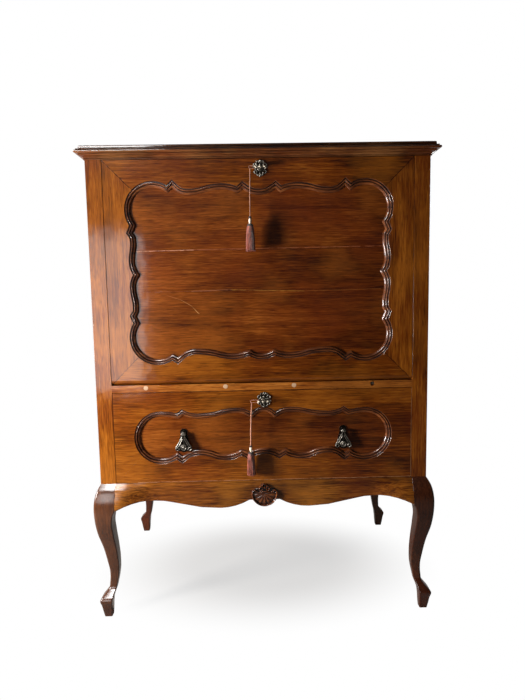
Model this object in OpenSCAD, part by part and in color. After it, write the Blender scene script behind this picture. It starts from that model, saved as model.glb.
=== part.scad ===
// Drop-front secretary desk on cabriole legs.
// The frame is +Z up with the floor at z = 0, X across the front and -Y towards the person using it.
// The origin is on the floor under the middle of the desk.

/* [Cabinet] */
// Width across the two front stiles
body_w = 920; // [880:10:980]
// Depth from the stile fronts to the stile backs
body_d = 570; // [540:10:620]
// Height of the legs, up to the bottom ends of the stiles
leg_h = 391; // [380:1:402]
// Height of the opening that the large drawer fills
drawer_open_h = 258.8; // [250:0.1:268]
// Height of the rail between the drawer and the fall front
rail_h = 20.2; // [19:0.1:24]
// Height from the rail up to the top of the stiles
upper_h = 605; // [590:1:620]
// Width of the stiles seen from the front
stile_w = 42.5; // [38:0.5:48]
// Depth of the stiles
stile_d = 36; // [34:1:44]
// Thickness of the floor of the writing compartment
floor_t = 25.3; // [24:0.1:28]

/* [Cornice] */
// Height of the moulding under the top board
cornice_h = 26; // [24:1:30]
// How far the moulding's nose stands out
cornice_out = 22.2; // [20:0.1:25]
// Thickness of the top board's visible edge
top_t = 9; // [8:0.5:14]
// How far the top board stands out
top_out = 12; // [10:0.5:14]

/* [Sides and back] */
// Thickness of the side rails
side_t = 22; // [20:1:26]
// How far the side rails stand back from the stiles
side_set = 2; // [1:0.5:4]
// Thickness of the side panels
panel_t = 10; // [9:0.5:12]
// Depth of the grooves that hold the side panels
groove_d = 8; // [6:0.5:10]
// Height of the top side rail
side_top_h = 60; // [50:1:80]
// Height of the bottom side rail
side_low_h = 70; // [60:1:90]
// Width of the flat border around a raised field
field_w = 45; // [35:1:60]
// Thickness of the back boards
back_t = 8; // [7:0.5:10]
// Number of back boards
back_n = 5; // [4:1:7]
// Thickness of the aprons under the case
apron_t = 22; // [20:1:26]
// Depth of the aprons where they meet the legs
apron_drop = 73; // [68:1:78]

/* [Fall front] */
// Thickness of the fall
fall_t = 24; // [22:0.5:27]
// Gap around the fall and around the drawer front
run_gap = 1.5; // [1:0.1:2.5]
// Depth of the panels behind the front faces
panel_set = 9; // [8:0.5:10]
// Thickness of the panels' tongues
tongue_t = 6; // [5:0.5:7]
// Width of the moulding around the panels
mould_w = 16; // [14:0.5:17]
// Thickness of the writing leather
leather_t = 1.5; // [1:0.1:2]
// Radius of the pins that the fall turns on
pivot_r = 4; // [3:0.5:5]
// Outer radius of the brass sockets for the pins
socket_r = 8; // [7:0.5:10]
// Radius of the quadrant stays
stay_r = 150; // [130:1:160]
// Thickness of the quadrant stays
stay_t = 3; // [2.5:0.5:4]

/* [Drawer] */
// Thickness of the drawer front
front_t = 22; // [20:0.5:26]
// Thickness of the drawer sides
wall_t = 12; // [10:0.5:14]
// Room left behind the drawer when it is shut
drawer_room = 48; // [30:1:90]
// Thickness of the drawer bottom
bottom_t = 8; // [6:0.5:10]
// Distance of each pull from the middle
pull_x = 224; // [200:1:250]

/* [Locks] */
// Sideways place of both keyholes
lock_x = 3; // [-6:0.5:6]
// Distance of the upper keyhole below the top of the stiles
fall_lock_drop = 28; // [26:0.5:30]
// Distance of the lower keyhole below the rail
drawer_lock_drop = 27.8; // [26:0.1:30]
// Travel of the bolts
bolt_throw = 8; // [6:0.5:9]
// How far the keys stand out of the front
key_reach = 26.5; // [24:0.5:30]

/* [Inside] */
// Distance from the front to the pigeonholes
nest_set = 180; // [172:1:200]
// Room left behind the pigeonholes, in front of the upper back rail
nest_room = 15; // [10:1:60]
// Thickness of the pigeonhole case
nest_t = 10; // [8:0.5:12]
// Height of the row with the small drawers
low_row_h = 95; // [85:1:110]
// Height of the row of pigeonholes
mid_row_h = 200; // [180:1:230]
// Half the width of the open middle of the lowest row
mid_open = 150; // [120:1:180]

/* [Hidden] */

wood = "#8a4a22";
wood_light = "#a8632e";
inside_wood = "#9c6b3f";
brass = "#b08d4a";
bronze = "#4a4034";
silk = "#a8685c";

eps = 0.01;
fit = 0.3;        // gap between pieces that are set in each other
mitre_gap = 0.15; // gap along each side of a joint between mitred or fitted pieces
arc_deg = 8;      // turn of an outline between two of its points

// Derived places
hx = body_w / 2;
open_x = hx - stile_w;
knee_out = 20.5 * stile_w / 42.5;      // how far the legs' knees stand out of the stiles
front = (key_reach - knee_out - body_d) / 2;
back = front + body_d;
rail_z0 = leg_h + drawer_open_h;
rail_z1 = rail_z0 + rail_h;
floor_z = rail_z1 + floor_t;
case_z = rail_z1 + upper_h;
pivot_y = front + fall_t / 2;
pivot_z = floor_z - fall_t / 2;
side_x = hx - side_set - side_t;       // inner faces of the side rails
stay_x = open_x - 9.5;                 // middle planes of the quadrant stays

fall_x = open_x - run_gap;
fall_z0 = pivot_z - fall_t / 2;
fall_z1 = case_z - run_gap;
fall_mid = (fall_z0 + fall_z1) / 2;
fall_h = fall_z1 - fall_z0;
front_z0 = leg_h + run_gap;            // the drawer front
front_z1 = rail_z0 - run_gap;
front_mid = (front_z0 + front_z1) / 2;
front_h = front_z1 - front_z0;
fall_key_z = case_z - fall_lock_drop;
drawer_key_z = rail_z0 - drawer_lock_drop;
back_set = 2;                          // the back boards lie this far inside the stiles' backs
back_face = back - back_t - back_set;  // front faces of the back boards
rear_rail_t = 20;
rail_face = back_face - rear_rail_t;   // front faces of the back rails

// ---------- outlines ----------
// A row is [x, z, sag]: a corner and how far the line to the next corner bows outwards.
// Both halves of an outline are alike, so a list holds the right half from top to bottom.
fall_top = [[0, 223.5, -2.3], [29, 232, 0], [45, 244, 0], [60, 231, 2], [102, 239, 1.6], [147, 232.5, -1.6],
    [190, 226, -1.4], [212, 231.5, 0], [232, 250, 0]];
fall_side = [[247, 236, 58], [350, 131, 0], [359, 111, 0], [350, 97, -1.2], [351, 68, 0.8], [355, 36, 2.6],
    [345, 0, 2.6], [355, -36, 0.8], [351, -68, -1.2], [350, -97, 0], [359, -111, 0], [350, -131, 58],
    [247, -236, 0]];
fall_low = [[231, -246, 0], [210, -228, -2], [183, -220, -1.5], [130, -226, 2.2], [76, -235, 2],
    [35, -227, 2.6], [0, -237, 0]];
drawer_half = [[0, 83, 3.6], [34, 69, 3.1], [77, 81, 1.9], [130, 73, -1.6], [183, 67, -0.9], [208, 71, 0],
    [226, 80, 0], [241, 69, 1.5], [286, 75, 22], [361, 0, 22], [286, -76, 3.1], [244, -64, 0],
    [229, -76, 0], [208, -60, -1.8], [182, -53, -1.8], [145, -60, 2.3], [105, -69, 3], [62, -57, 0],
    [44, -68, 0], [27, -58, -1.2], [0, -53, 0]];
fall_half = concat(fall_top, fall_side, fall_low);
fall_design = [416, 301];     // half width and half height that the fall's list is drawn for
drawer_design = [416, 128];

// Points of the arc from p to q that bows by sag to the left, without its end.
function arc_pts(p, q, sag) =
    abs(sag) < 0.05 ? [p] :
    let (c = norm(q - p) / 2, r = (c * c + sag * sag) / (2 * sag),
         left = [p[1] - q[1], q[0] - p[0]] / (2 * c),
         mid = (p + q) / 2 - left * (r - sag),
         half = 2 * atan(sag / c), n = max(2, ceil(abs(2 * half) / arc_deg)),
         up = left * r, side = (q - p) / (2 * c) * r)
    [for (i = [0:n - 1]) let (a = half * (2 * i / n - 1)) mid + up * cos(a) + side * sin(a)];

// The right half of a list's outline, stretched by k in X and in Z.
function half_pts(rows, k) = let (at = [for (row = rows) [row[0] * k[0], row[1] * k[1]]], n = len(rows))
    concat([for (i = [0:n - 2]) each arc_pts(at[i], at[i + 1], rows[i][2])], [[0, at[n - 1][1]]]);

// Closed outline, clockwise from the top middle, moved up to height mid.
function outline(rows, k, mid) = let (h = half_pts(rows, k), n = len(h)) concat(
    [for (i = [0:n - 1]) [h[i][0], h[i][1] + mid]],
    [for (i = [n - 2:-1:1]) [-h[i][0], h[i][1] + mid]]);

function unit(v) = v / norm(v);
function left_of(p, q) = let (d = unit(q - p)) [-d[1], d[0]];

// The outline moved inwards by w, with mitred corners.
function inset(pts, w) = let (n = len(pts))
    [for (i = [0:n - 1])
        let (a = left_of(pts[(i + n - 1) % n], pts[i]), b = left_of(pts[i], pts[(i + 1) % n]))
        pts[i] - (a + b) / (1 + a * b) * w];

fall_k = [fall_x / fall_design[0], fall_h / 2 / fall_design[1]];
drawer_k = [fall_x / drawer_design[0], front_h / 2 / drawer_design[1]];
fall_line = outline(fall_half, fall_k, fall_mid);
drawer_line = outline(drawer_half, drawer_k, front_mid);

// ---------- helpers ----------
module box(lo, hi) translate(lo) cube(hi - lo);
module both() {
    children();
    mirror([1, 0, 0]) children();
}
// A shape drawn in X and Z, from depth y0 to depth y1
module facing(y0, y1) translate([0, y1, 0]) rotate([90, 0, 0]) linear_extrude(y1 - y0) children();
// A shape drawn in Y and Z, from x0 to x1
module sideways(x0, x1) translate([x0, 0, 0]) rotate([90, 0, 90]) linear_extrude(x1 - x0) children();
module rod_x(x0, x1, r) translate([x0, 0, 0]) rotate([0, 90, 0]) cylinder(h = x1 - x0, r = r, $fn = 48);
module rod_y(y0, y1, r) translate([0, y0, 0]) rotate([-90, 0, 0]) cylinder(h = y1 - y0, r = r, $fn = 48);

// ---------- top ----------
// Profile rows are [how far out, height above the stiles].
cyma = [for (i = [0:6]) [cornice_out * 0.62 * (i / 6 - sin(360 * i / 6) / 14), cornice_h * 0.5 * i / 6]];
nose = [for (i = [0:7]) let (a = -70 + 160 * i / 7)
    [cornice_out - 5 + 5 * cos(a), cornice_h - 5.5 + 5 * sin(a)]];
cornice_depth = 30;
cornice_profile = concat([[-cornice_depth, 0]], cyma, nose,
    [[top_out + 1, cornice_h], [-cornice_depth, cornice_h]]);
top_edge = [[top_out, 0], [top_out, top_t - 3.5], [top_out - 1, top_t - 1.2], [top_out - 3.5, top_t]];

module cornice_plan() {
    reach = cornice_depth + cornice_out;
    polygon([[-hx - reach, front - reach], [hx + reach, front - reach],
        [hx - reach, front + reach], [-hx + reach, front + reach]]);
}
module cornice_front() color(wood) difference() {
    intersection() {
        sideways(-hx - cornice_out, hx + cornice_out)
            polygon([for (p = cornice_profile) [front - p[0], case_z + p[1]]]);
        translate([0, 0, case_z - 1]) linear_extrude(cornice_h + 2) cornice_plan();
    }
    bolt_space(case_z - 1, case_z + bolt_throw + 1);
}
module cornice_returns() color(wood) both() difference() {
    facing(front - cornice_out, back)
        polygon([for (p = cornice_profile) [hx + p[0], case_z + p[1]]]);
    translate([0, 0, case_z - 1]) linear_extrude(cornice_h + 2) cornice_plan();
}
module top_board() color(wood_light) {
    z0 = case_z + cornice_h;
    intersection() {
        facing(front - top_out, back) polygon(concat([for (p = top_edge) [hx + p[0], z0 + p[1]]],
            [for (i = [3:-1:0]) [-hx - top_edge[i][0], z0 + top_edge[i][1]]]));
        sideways(-hx - top_out, hx + top_out) polygon(concat([[back, z0]],
            [for (p = top_edge) [front - p[0], z0 + p[1]]], [[back, z0 + top_t]]));
    }
    inner = cornice_depth + fit;
    box([-hx + inner, front + inner, case_z], [hx - inner, back, z0 + top_t / 2]);
}

// ---------- case ----------
panel_x = hx - side_set - (side_t - panel_t) / 2;    // outer face of a side panel's tongue
panel_z0 = leg_h + side_low_h;
panel_z1 = case_z - side_top_h;
module side_groove() box([-panel_x - fit / 2, front + stile_d - groove_d - fit, panel_z0 - groove_d - fit],
    [-panel_x + panel_t + fit / 2, back - stile_d + groove_d + fit, panel_z1 + groove_d + fit]);

socket_len = 10;
module front_left_stile() color(wood) difference() {
    box([-hx, front, leg_h], [-open_x, front + stile_d, case_z]);
    side_groove();
    translate([0, pivot_y, pivot_z]) rod_x(-open_x - socket_len - fit, -open_x + 1, socket_r + 0.05);
}
module front_right_stile() mirror([1, 0, 0]) front_left_stile();

rebate = 10;
module rear_stiles() color(wood) both() difference() {
    box([-hx, back - stile_d, leg_h], [-open_x, back, case_z]);
    side_groove();
    box([-open_x - rebate, back_face, leg_h - 1], [-open_x + 1, back + 1, case_z + 1]);
}
module left_side_rails() color(wood) difference() {
    for (z = [[leg_h, panel_z0], [panel_z1, case_z]])
        box([-hx + side_set, front + stile_d, z[0]], [-side_x, back - stile_d, z[1]]);
    side_groove();
}
module right_side_rails() mirror([1, 0, 0]) left_side_rails();
// Section through a raised field that runs from u0 to u1
function field_section(u0, u1) = let (rise = (side_t - panel_t) / 2)
    [[-panel_x, u0], [-panel_x, u1], [-panel_x - rise, u1 - 3 * rise], [-panel_x - rise, u0 + 3 * rise]];
// The raised field is where two bevelled prisms meet.
module left_side_panel() color(wood_light) {
    y0 = front + stile_d;
    y1 = back - stile_d;
    box([-panel_x, y0 - groove_d, panel_z0 - groove_d],
        [-panel_x + panel_t, y1 + groove_d, panel_z1 + groove_d]);
    intersection() {
        facing(y0 + field_w, y1 - field_w) polygon(field_section(panel_z0 + field_w, panel_z1 - field_w));
        translate([0, 0, panel_z0]) linear_extrude(panel_z1 - panel_z0)
            polygon(field_section(y0 + field_w, y1 - field_w));
    }
}
module right_side_panel() mirror([1, 0, 0]) left_side_panel();

rear_apron_drop = 45;
rear_rail_h = 50;
module rear_rails() color(inside_wood) {
    box([-open_x, rail_face, leg_h - rear_apron_drop], [open_x, back_face, leg_h + rear_rail_h - 10]);
    box([-open_x, rail_face, case_z - rear_rail_h], [open_x, back_face, case_z]);
}
module back_boards() color(inside_wood) {
    w = 2 * (open_x + rebate - fit);
    for (i = [0:back_n - 1])
        box([-w / 2 + i * w / back_n, back_face, leg_h],
            [-w / 2 + (i + 1) * w / back_n - fit, back_face + back_t, case_z]);
}
screw_x = [-323, -103, 87, 306];
screw_z = rail_z0 + 12;
plug_r = 6.3;
head_y = front + 9;
screw_len = 52;
rail_d = 30;
screw_r = 2.2;           // shank
screw_head = [4.6, 2.4]; // radius and height of the head
module at_screw(i) translate([screw_x[i], 0, screw_z]) children();
module mid_rail() color(wood_light) difference() {
    box([-open_x, front, rail_z0], [open_x, front + rail_d, rail_z1]);
    for (i = [0:3]) at_screw(i) {
        rod_y(front - 1, head_y + 0.05, plug_r + 0.05);
        rod_y(head_y, front + rail_d + 1, screw_r + 0.1);
    }
    bolt_space(rail_z0 - 1, rail_z0 + bolt_throw + 1);
}
module rail_screws() color(brass) for (i = [0:3]) at_screw(i) difference() {
    union() {
        rod_y(head_y - screw_head[1], head_y, screw_head[0]);
        rod_y(head_y - 1, head_y + screw_len, screw_r);
    }
    // slot
    box([-0.5, head_y - screw_head[1] - 1, -5], [0.5, head_y - screw_head[1] + 1, 5]);
}
// Three of the four counterbores are plugged
module rail_plugs() color("#d8bd92") for (i = [0:2]) at_screw(i) rod_y(front - 0.3, front + 5.5, plug_r);

// Room under the writing floor for the ends of the quadrant stays when the fall is shut
module stay_pocket(z0, z1) both()
    box([stay_x - 6, pivot_y + stay_r - 9, z0], [stay_x + 6, pivot_y + stay_r + 8, z1]);
module dust_board() color(inside_wood) difference() {
    z1 = rail_z1 - fit;
    y0 = front + rail_d + fit;
    union() {
        box([-open_x + fit, y0, rail_z0], [open_x - fit, back_face - fit, z1]);
        box([-side_x + fit, front + stile_d + fit, rail_z0], [side_x - fit, back - stile_d - fit, z1]);
    }
    for (i = [0:3]) at_screw(i) rod_y(y0 - 1, head_y + screw_len + 1, screw_r + 0.1);
    stay_pocket(rail_z0 + 2, z1 + 1);
}
module desk_floor() color(wood_light) difference() {
    union() {
        box([-open_x + fit, front + fall_t + 0.6, rail_z1], [open_x - fit, back_face - fit, floor_z]);
        box([-side_x + fit, front + stile_d + fit, rail_z1], [side_x - fit, back - stile_d - fit, floor_z]);
    }
    stay_pocket(rail_z1 - 1, floor_z + 1);
}
box_d = rail_face - drawer_room - front - front_t;
box_x = open_x - 4.5;        // outer faces of the drawer's sides
runner_z = leg_h + 12.7;
// A runner under each side of the drawer, and a guide beside it
runner_in = 20;
guide_h = 26;
guide_gap = 0.8;
module drawer_runners() color(inside_wood) both() {
    y0 = front + stile_d + fit;
    y1 = back - stile_d - fit;
    box([-side_x, y0, leg_h], [-box_x + runner_in, y1, runner_z]);
    box([-side_x, y0, runner_z], [-box_x - guide_gap, y1, runner_z + guide_h]);
}
stop_h = 26;
stop_d = 25.2;
stop_gap = 0.8;
module fall_stop_rail() color(wood) translate([0, front + fall_t + stop_gap, 0])
    box([-open_x, 0, case_z - stop_h], [open_x, stop_d, case_z]);

// ---------- aprons ----------
pendant_r = 36;
shell_up = 41;             // the shell's middle below the case
// Right half of the front apron's lower edge: [share of the way to the leg, share of the drop, sag]
apron_edge = [[1, 1, -5.5], [0.79, 0.705, -3.1], [0.563, 0.877, 3.8], [0.3, 1.082, 5.6],
    [0.103, 0.781, 0]];
apron_pts = [for (p = apron_edge) [p[0] * open_x, -p[1] * apron_drop]];
// half the pendant's width where it leaves the apron, and its turn from straight down to there
pendant_x = sqrt(pendant_r ^ 2 - (shell_up + apron_pts[4][1]) ^ 2);
pendant_turn = atan2(pendant_x, -shell_up - apron_pts[4][1]);
pendant_half = [for (i = [0:5]) let (a = pendant_turn * (1 - i / 6))
    [pendant_r * sin(a), -shell_up - pendant_r * cos(a)]];
apron_half = concat([for (i = [0:3]) each arc_pts(apron_pts[i], apron_pts[i + 1], apron_edge[i][2])],
    [apron_pts[4]], pendant_half);
module front_apron() color(wood) translate([0, 0, leg_h]) facing(front, front + apron_t)
    polygon(concat([[open_x, 0]], apron_half, [[0, -shell_up - pendant_r]],
        [for (i = [len(apron_half) - 1:-1:0]) [-apron_half[i][0], apron_half[i][1]]], [[-open_x, 0]]));
// The shell is a fan of ribs. Its height falls from the hinge at the top to a raised rim.
shell_r = 38;
shell_n = 9;
shell_h = 9;
function shell_reach(a) = abs(a) <= 95 ? shell_r : shell_r - (abs(a) - 95) * 0.35;
function shell_rise(t, a) = let (rib = 0.5 + 0.5 * cos(a * 360 * shell_n / 2 / 135))
    sin(min(1, t * 1.25) * 90) * shell_h * (0.62 + 0.2 * rib * t) + (t > 0.9 ? 1.2 : 0) - (t >= 1 ? 3.5 : 0);
shell_z = leg_h - shell_up + 3;
// One ring of the shell, at share t of its reach and raised by share lift of its relief
function shell_ring(t, lift, n) = [for (j = [0:n - 1]) let (a = 360 * j / n - 180, r = shell_reach(a) * t)
    [r * sin(a), front - lift * shell_rise(t, a), shell_z - r * cos(a)]];
module apron_shell() color(wood) {
    rings = 6;
    k = 48;
    pts = concat([[0, front - shell_h * 0.35, shell_z]],
        [for (i = [1:rings]) each shell_ring(i / rings, 1, k)],
        shell_ring(1, 0, k),
        [[0, front, shell_z]]);
    last = len(pts) - 1;
    polyhedron(points = pts, faces = concat(
        [for (j = [0:k - 1]) [0, 1 + (j + 1) % k, 1 + j]],
        [for (i = [0:rings - 1], j = [0:k - 1])
            each let (a = 1 + i * k + j, b = 1 + i * k + (j + 1) % k) [[a, b, b + k], [a, b + k, a + k]]],
        [for (j = [0:k - 1]) [last, last - k + j, last - k + (j + 1) % k]]));
}
side_arch = 42;            // depth of the side aprons at their middles
side_sag = -8;             // how far each half of a side arch bows
module side_aprons() color(wood) both() {
    y0 = front + stile_w;
    y1 = back - stile_w;
    foot = leg_h - apron_drop;
    top = [(y0 + y1) / 2, leg_h - side_arch];
    edge = concat(arc_pts([y1, foot], top, side_sag), arc_pts(top, [y0, foot], side_sag));
    sideways(-hx + 1, -hx + 1 + apron_t) polygon(concat([[y0, leg_h], [y1, leg_h]], edge, [[y0, foot]]));
}

// ---------- legs ----------
// Rows down a leg: [height, outer face, inner face, radius of the outer edge].
// Faces are measured inwards from the stile's outer corner, the same way in X and in Y.
leg_rows = [[391, 0, 42.5, 1], [372, -11, 42.5, 6], [350, -17.5, 42.5, 9], [315, -20.5, 36, 11],
    [285, -19, 31, 11], [250, -14, 31.5, 10], [205, -3, 35, 9], [160, 5, 37.5, 8], [125, 9.5, 36.5, 8],
    [95, 8.5, 31.5, 8], [77, 6, 27.5, 8], [68, -3.5, 24, 9], [58, -12.5, 20.5, 10], [49, -15.5, 18.8, 10],
    [42, -14.5, 18, 10], [36, -12, 17.5, 9], [16, -9.5, 17, 8], [0, -6, 15.5, 7]];
leg_steps = 2;
function blend(a, b, c, d, t) = 0.5 * (2 * b + (c - a) * t + (2 * a - 5 * b + 4 * c - d) * t * t
    + (3 * b - a - 3 * c + d) * t * t * t);
function leg_row(i, t) = let (n = len(leg_rows) - 1)
    blend(leg_rows[max(0, i - 1)], leg_rows[i], leg_rows[i + 1], leg_rows[min(n, i + 2)], t);
leg_levels = concat([for (i = [0:len(leg_rows) - 2], j = [0:leg_steps - 1]) leg_row(i, j / leg_steps)],
    [leg_rows[len(leg_rows) - 1]]);
function corner(x, y, r, a) = [for (i = [0:3]) [x + r * cos(a + 30 * i), y + r * sin(a + 30 * i)]];
leg_k = stile_w / leg_rows[0][2];
inner_edge = 4;            // radius of the leg's other edges
function leg_ring(v) =
    let (o = v[1] * leg_k, n = min(v[2] * leg_k, stile_w), r = v[3] * leg_k, s = min(inner_edge, r),
         ring = concat(corner(o + r, o + r, r, 180), corner(n - s, o + s, s, 270),
             corner(n - s, n - s, s, 0), corner(o + s, n - s, s, 90)))
    [for (p = ring) [p[0], p[1], v[0] * leg_h / leg_rows[0][0]]];
// Leg at the front left corner
module leg() color(wood) {
    rings = [for (v = leg_levels) leg_ring(v)];
    m = len(rings);
    k = len(rings[0]);
    translate([-hx, front, 0]) polyhedron(points = [for (r = rings) each r], faces = concat(
        [[for (j = [k - 1:-1:0]) j]], [[for (j = [0:k - 1]) (m - 1) * k + j]],
        [for (i = [0:m - 2], j = [0:k - 1]) each let (a = i * k + j, b = i * k + (j + 1) % k)
            [[a, b, b + k], [a, b + k, a + k]]]));
}
module front_left_leg() leg();
module front_right_leg() mirror([1, 0, 0]) leg();
module to_back() translate([0, front + back, 0]) mirror([0, 1, 0]) children();
module rear_legs() to_back() both() leg();

// ---------- inside ----------
nest_x = stay_x - 12;
nest_y = front + nest_set;
nest_d = rail_face - nest_room - nest_y;
nest_z1 = case_z - 6;
shelf_a = floor_z + nest_t + low_row_h;
shelf_b = shelf_a + nest_t + mid_row_h;
nest_in = nest_x - nest_t - fit;       // half the length of a shelf
nest_back = 5;
module pigeonhole_case() color(inside_wood) {
    y1 = nest_y + nest_d;
    y2 = y1 - nest_back - fit;
    low = floor_z + nest_t + fit;
    box([-nest_x, nest_y, floor_z], [nest_x, y1, floor_z + nest_t]);
    for (z = [shelf_a, shelf_b, nest_z1 - nest_t])
        box([-nest_in, nest_y, z], [nest_in, y2, z + nest_t]);
    box([-nest_in, y1 - nest_back, low], [nest_in, y1, nest_z1]);
    both() {
        box([-nest_x, nest_y, low], [-nest_x + nest_t, y1, nest_z1]);
        box([-mid_open - nest_t, nest_y, low], [-mid_open, y2, shelf_a - fit]);
        // strip that covers the gap to the case's side
        box([-side_x + 0.5, nest_y, floor_z], [-nest_x - fit, nest_y + nest_t, nest_z1]);
    }
}
// A partition with a hollowed front edge between heights z0 and z1
partition_t = 8;
hollow = 45;
module partition(x, z0, z1) {
    y0 = nest_y + 4;
    y1 = nest_y + nest_d - nest_back - fit;
    h = z1 - z0;
    sideways(x - partition_t / 2, x + partition_t / 2) polygon(concat([[y1, z0], [y0, z0]],
        [for (i = [0:10]) [y0 + hollow * (0.5 - 0.5 * cos(36 * i)), z0 + h * (0.12 + 0.076 * i)]],
        [[y0, z1], [y1, z1]]));
}
module partitions(n, z0, z1) for (i = [1:n - 1]) partition((2 * i / n - 1) * (nest_x - nest_t), z0, z1);
module pigeonhole_dividers() color(inside_wood) {
    partitions(5, shelf_a + nest_t, shelf_b);
    partitions(3, shelf_b + nest_t, nest_z1 - nest_t);
}
inner_front_y = nest_y + 2;
inner_d = nest_d - 45;
inner_wall = 7;
inner_front_t = 13;
inner_bottom_t = 5;
inner_gap = 0.8;         // room around an inner drawer
knob_r = 8;
// Turned knob: a stem with a flattened ball
knob = concat([[0, 0], [5, 0], [3.6, 5]],
    [for (i = [0:8]) [knob_r * cos(i * 22.5 - 90), 12 + 6 * sin(i * 22.5 - 90)]]);
module inner_left_drawer() color(inside_wood) {
    x0 = -nest_x + nest_t + inner_gap;
    x1 = -mid_open - nest_t - inner_gap;
    xi = x0 + inner_wall + fit;
    xj = x1 - inner_wall - fit;
    y0 = inner_front_y;
    y1 = y0 + inner_front_t + fit;
    y2 = y0 + inner_d;
    z0 = floor_z + nest_t + inner_gap / 2;
    z1 = shelf_a - inner_gap;
    side_z = z1 - 6;
    box([x0, y0, z0], [x1, y0 + inner_front_t, z1]);
    for (x = [x0, x1 - inner_wall])
        box([x, y1, z0], [x + inner_wall, y2, side_z]);
    box([xi, y1, z0], [xj, y2, z0 + inner_bottom_t]);
    box([xi, y2 - inner_wall, z0 + inner_bottom_t + fit], [xj, y2, side_z]);
    translate([(x0 + x1) / 2, y0 + 1, (z0 + z1) / 2]) rotate([90, 0, 0])
        rotate_extrude($fn = 40) polygon(knob);
}
module inner_right_drawer() mirror([1, 0, 0]) inner_left_drawer();

// ---------- fall ----------
fall_border = [56.5, 60.5];      // from the fall's edges to the square opening behind its panel
fall_in = [fall_x - fall_border[0], fall_h / 2 - fall_border[1]];
fall_mitre = 84;                 // length of the mitres, across and down
tongue = 12;
pin_in = 14;                     // how far the pins reach into the fall
// One side of a mitred frame, between the outer and the inner rectangle
module rail_shape(ox, z0, z1, ix, i0, i1, side) polygon(
    side == "left" ? [[-ox, z0], [-ox, z1], [-ix, i1], [-ix, i0]] :
    side == "top" ? [[-ox, z1], [ox, z1], [ix, i1], [-ix, i1]] :
    [[-ox, z0], [-ix, i0], [ix, i0], [ox, z0]]);
module fall_member(side) difference() {
    facing(front, front + fall_t) rail_shape(fall_x, fall_z0, fall_z1, fall_x - fall_mitre,
        fall_z0 + fall_mitre, fall_z1 - fall_mitre, side);
    facing(front - 1, front + panel_set) polygon(fall_line);
    box([-fall_in[0] - tongue, front + panel_set - eps, fall_mid - fall_in[1] - tongue],
        [fall_in[0] + tongue, front + panel_set + tongue_t, fall_mid + fall_in[1] + tongue]);
    box([-fall_in[0], front + panel_set, fall_mid - fall_in[1]],
        [fall_in[0], front + fall_t + 1, fall_mid + fall_in[1]]);
    // the bottom edge is a half round about the pins
    difference() {
        box([-fall_x - 1, front - 1, fall_z0 - 1], [fall_x + 1, front + fall_t + 1, pivot_z]);
        translate([0, pivot_y, pivot_z]) rod_x(-fall_x - 2, fall_x + 2, fall_t / 2);
    }
    both() translate([0, pivot_y, pivot_z]) rod_x(fall_x - pin_in - fit, fall_x + 1, pivot_r + 0.05);
}
module fall_left_stile() color(wood) fall_member("left");
module fall_right_stile() color(wood) mirror([1, 0, 0]) fall_member("left");
module fall_top_rail() color(wood) difference() {
    fall_member("top");
    lock_space(fall_key_z, fall_lock_low, fall_z1, fall_t);
}
module fall_bottom_rail() color(wood) fall_member("bottom");

board_joints = [-47, 63];        // joints between the panel's boards, above its middle
board_y = front + fall_t - 2;    // inner faces of the boards
// Each board is thick inside the frame's opening and thin where it sits in the frame's grooves.
module fall_boards() color(wood_light) {
    tongue_x = fall_in[0] + tongue - fit;
    tongue_z = fall_in[1] + tongue - fit;
    x = fall_in[0] - fit;
    z = fall_in[1] - fit;
    cuts = concat([-tongue_z], board_joints, [tongue_z]);
    for (i = [0:2]) {
        low = cuts[i] + (i > 0 ? fit : 0);
        high = cuts[i + 1];
        box([-tongue_x, front + panel_set, fall_mid + low],
            [tongue_x, front + panel_set + tongue_t - 0.1, fall_mid + high]);
        box([-x, front + panel_set, fall_mid + max(low, -z)], [x, board_y, fall_mid + min(high, z)]);
    }
}
leather_set = 25;                // bare wood around the writing leather
module writing_leather() color("#4a2a1a")
    box([-fall_in[0] + leather_set, board_y, fall_mid - fall_in[1] + leather_set],
        [fall_in[0] - leather_set, board_y + leather_t, fall_mid + fall_in[1] - leather_set]);

// Moulding profile: rows of [share of the width, depth behind the front]
bead = [[0, 0.2], [0.1, 2.6], [0.22, 1], [0.42, 1.6], [0.56, 4.6], [0.66, 4.4], [1, 8.9]];
module moulding(line, y_back) {
    edge = inset(line, mitre_gap);
    rows = concat([for (b = bead) [b[0], front + b[1] * panel_set / 9]], [[1, y_back], [0, y_back]]);
    rings = [for (row = rows) [for (p = inset(edge, row[0] * mould_w)) [p[0], row[1], p[1]]]];
    m = len(rings);
    k = len(line);
    polyhedron(points = [for (r = rings) each r], faces = [for (i = [0:m - 1], j = [0:k - 1])
        each let (j1 = (j + 1) % k, row = i * k, next = (i + 1) % m * k)
        [[row + j, next + j1, row + j1], [row + j, next + j, next + j1]]]);
}
module fall_moulding() color(wood_light) moulding(fall_line, front + panel_set - 0.05);

keeper_y = front + fall_t + 1.5;
keeper_d = 4;
keeper_up = 9;           // the keeper above and below the stay's middle
keeper_low = 11;
foot_w = 14;             // the stay's foot on the fall
foot_h = 44;
foot_t = 1.2;
stop_deg = atan((keeper_y + keeper_d - pivot_y) / stay_r) + 0.4;
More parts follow.
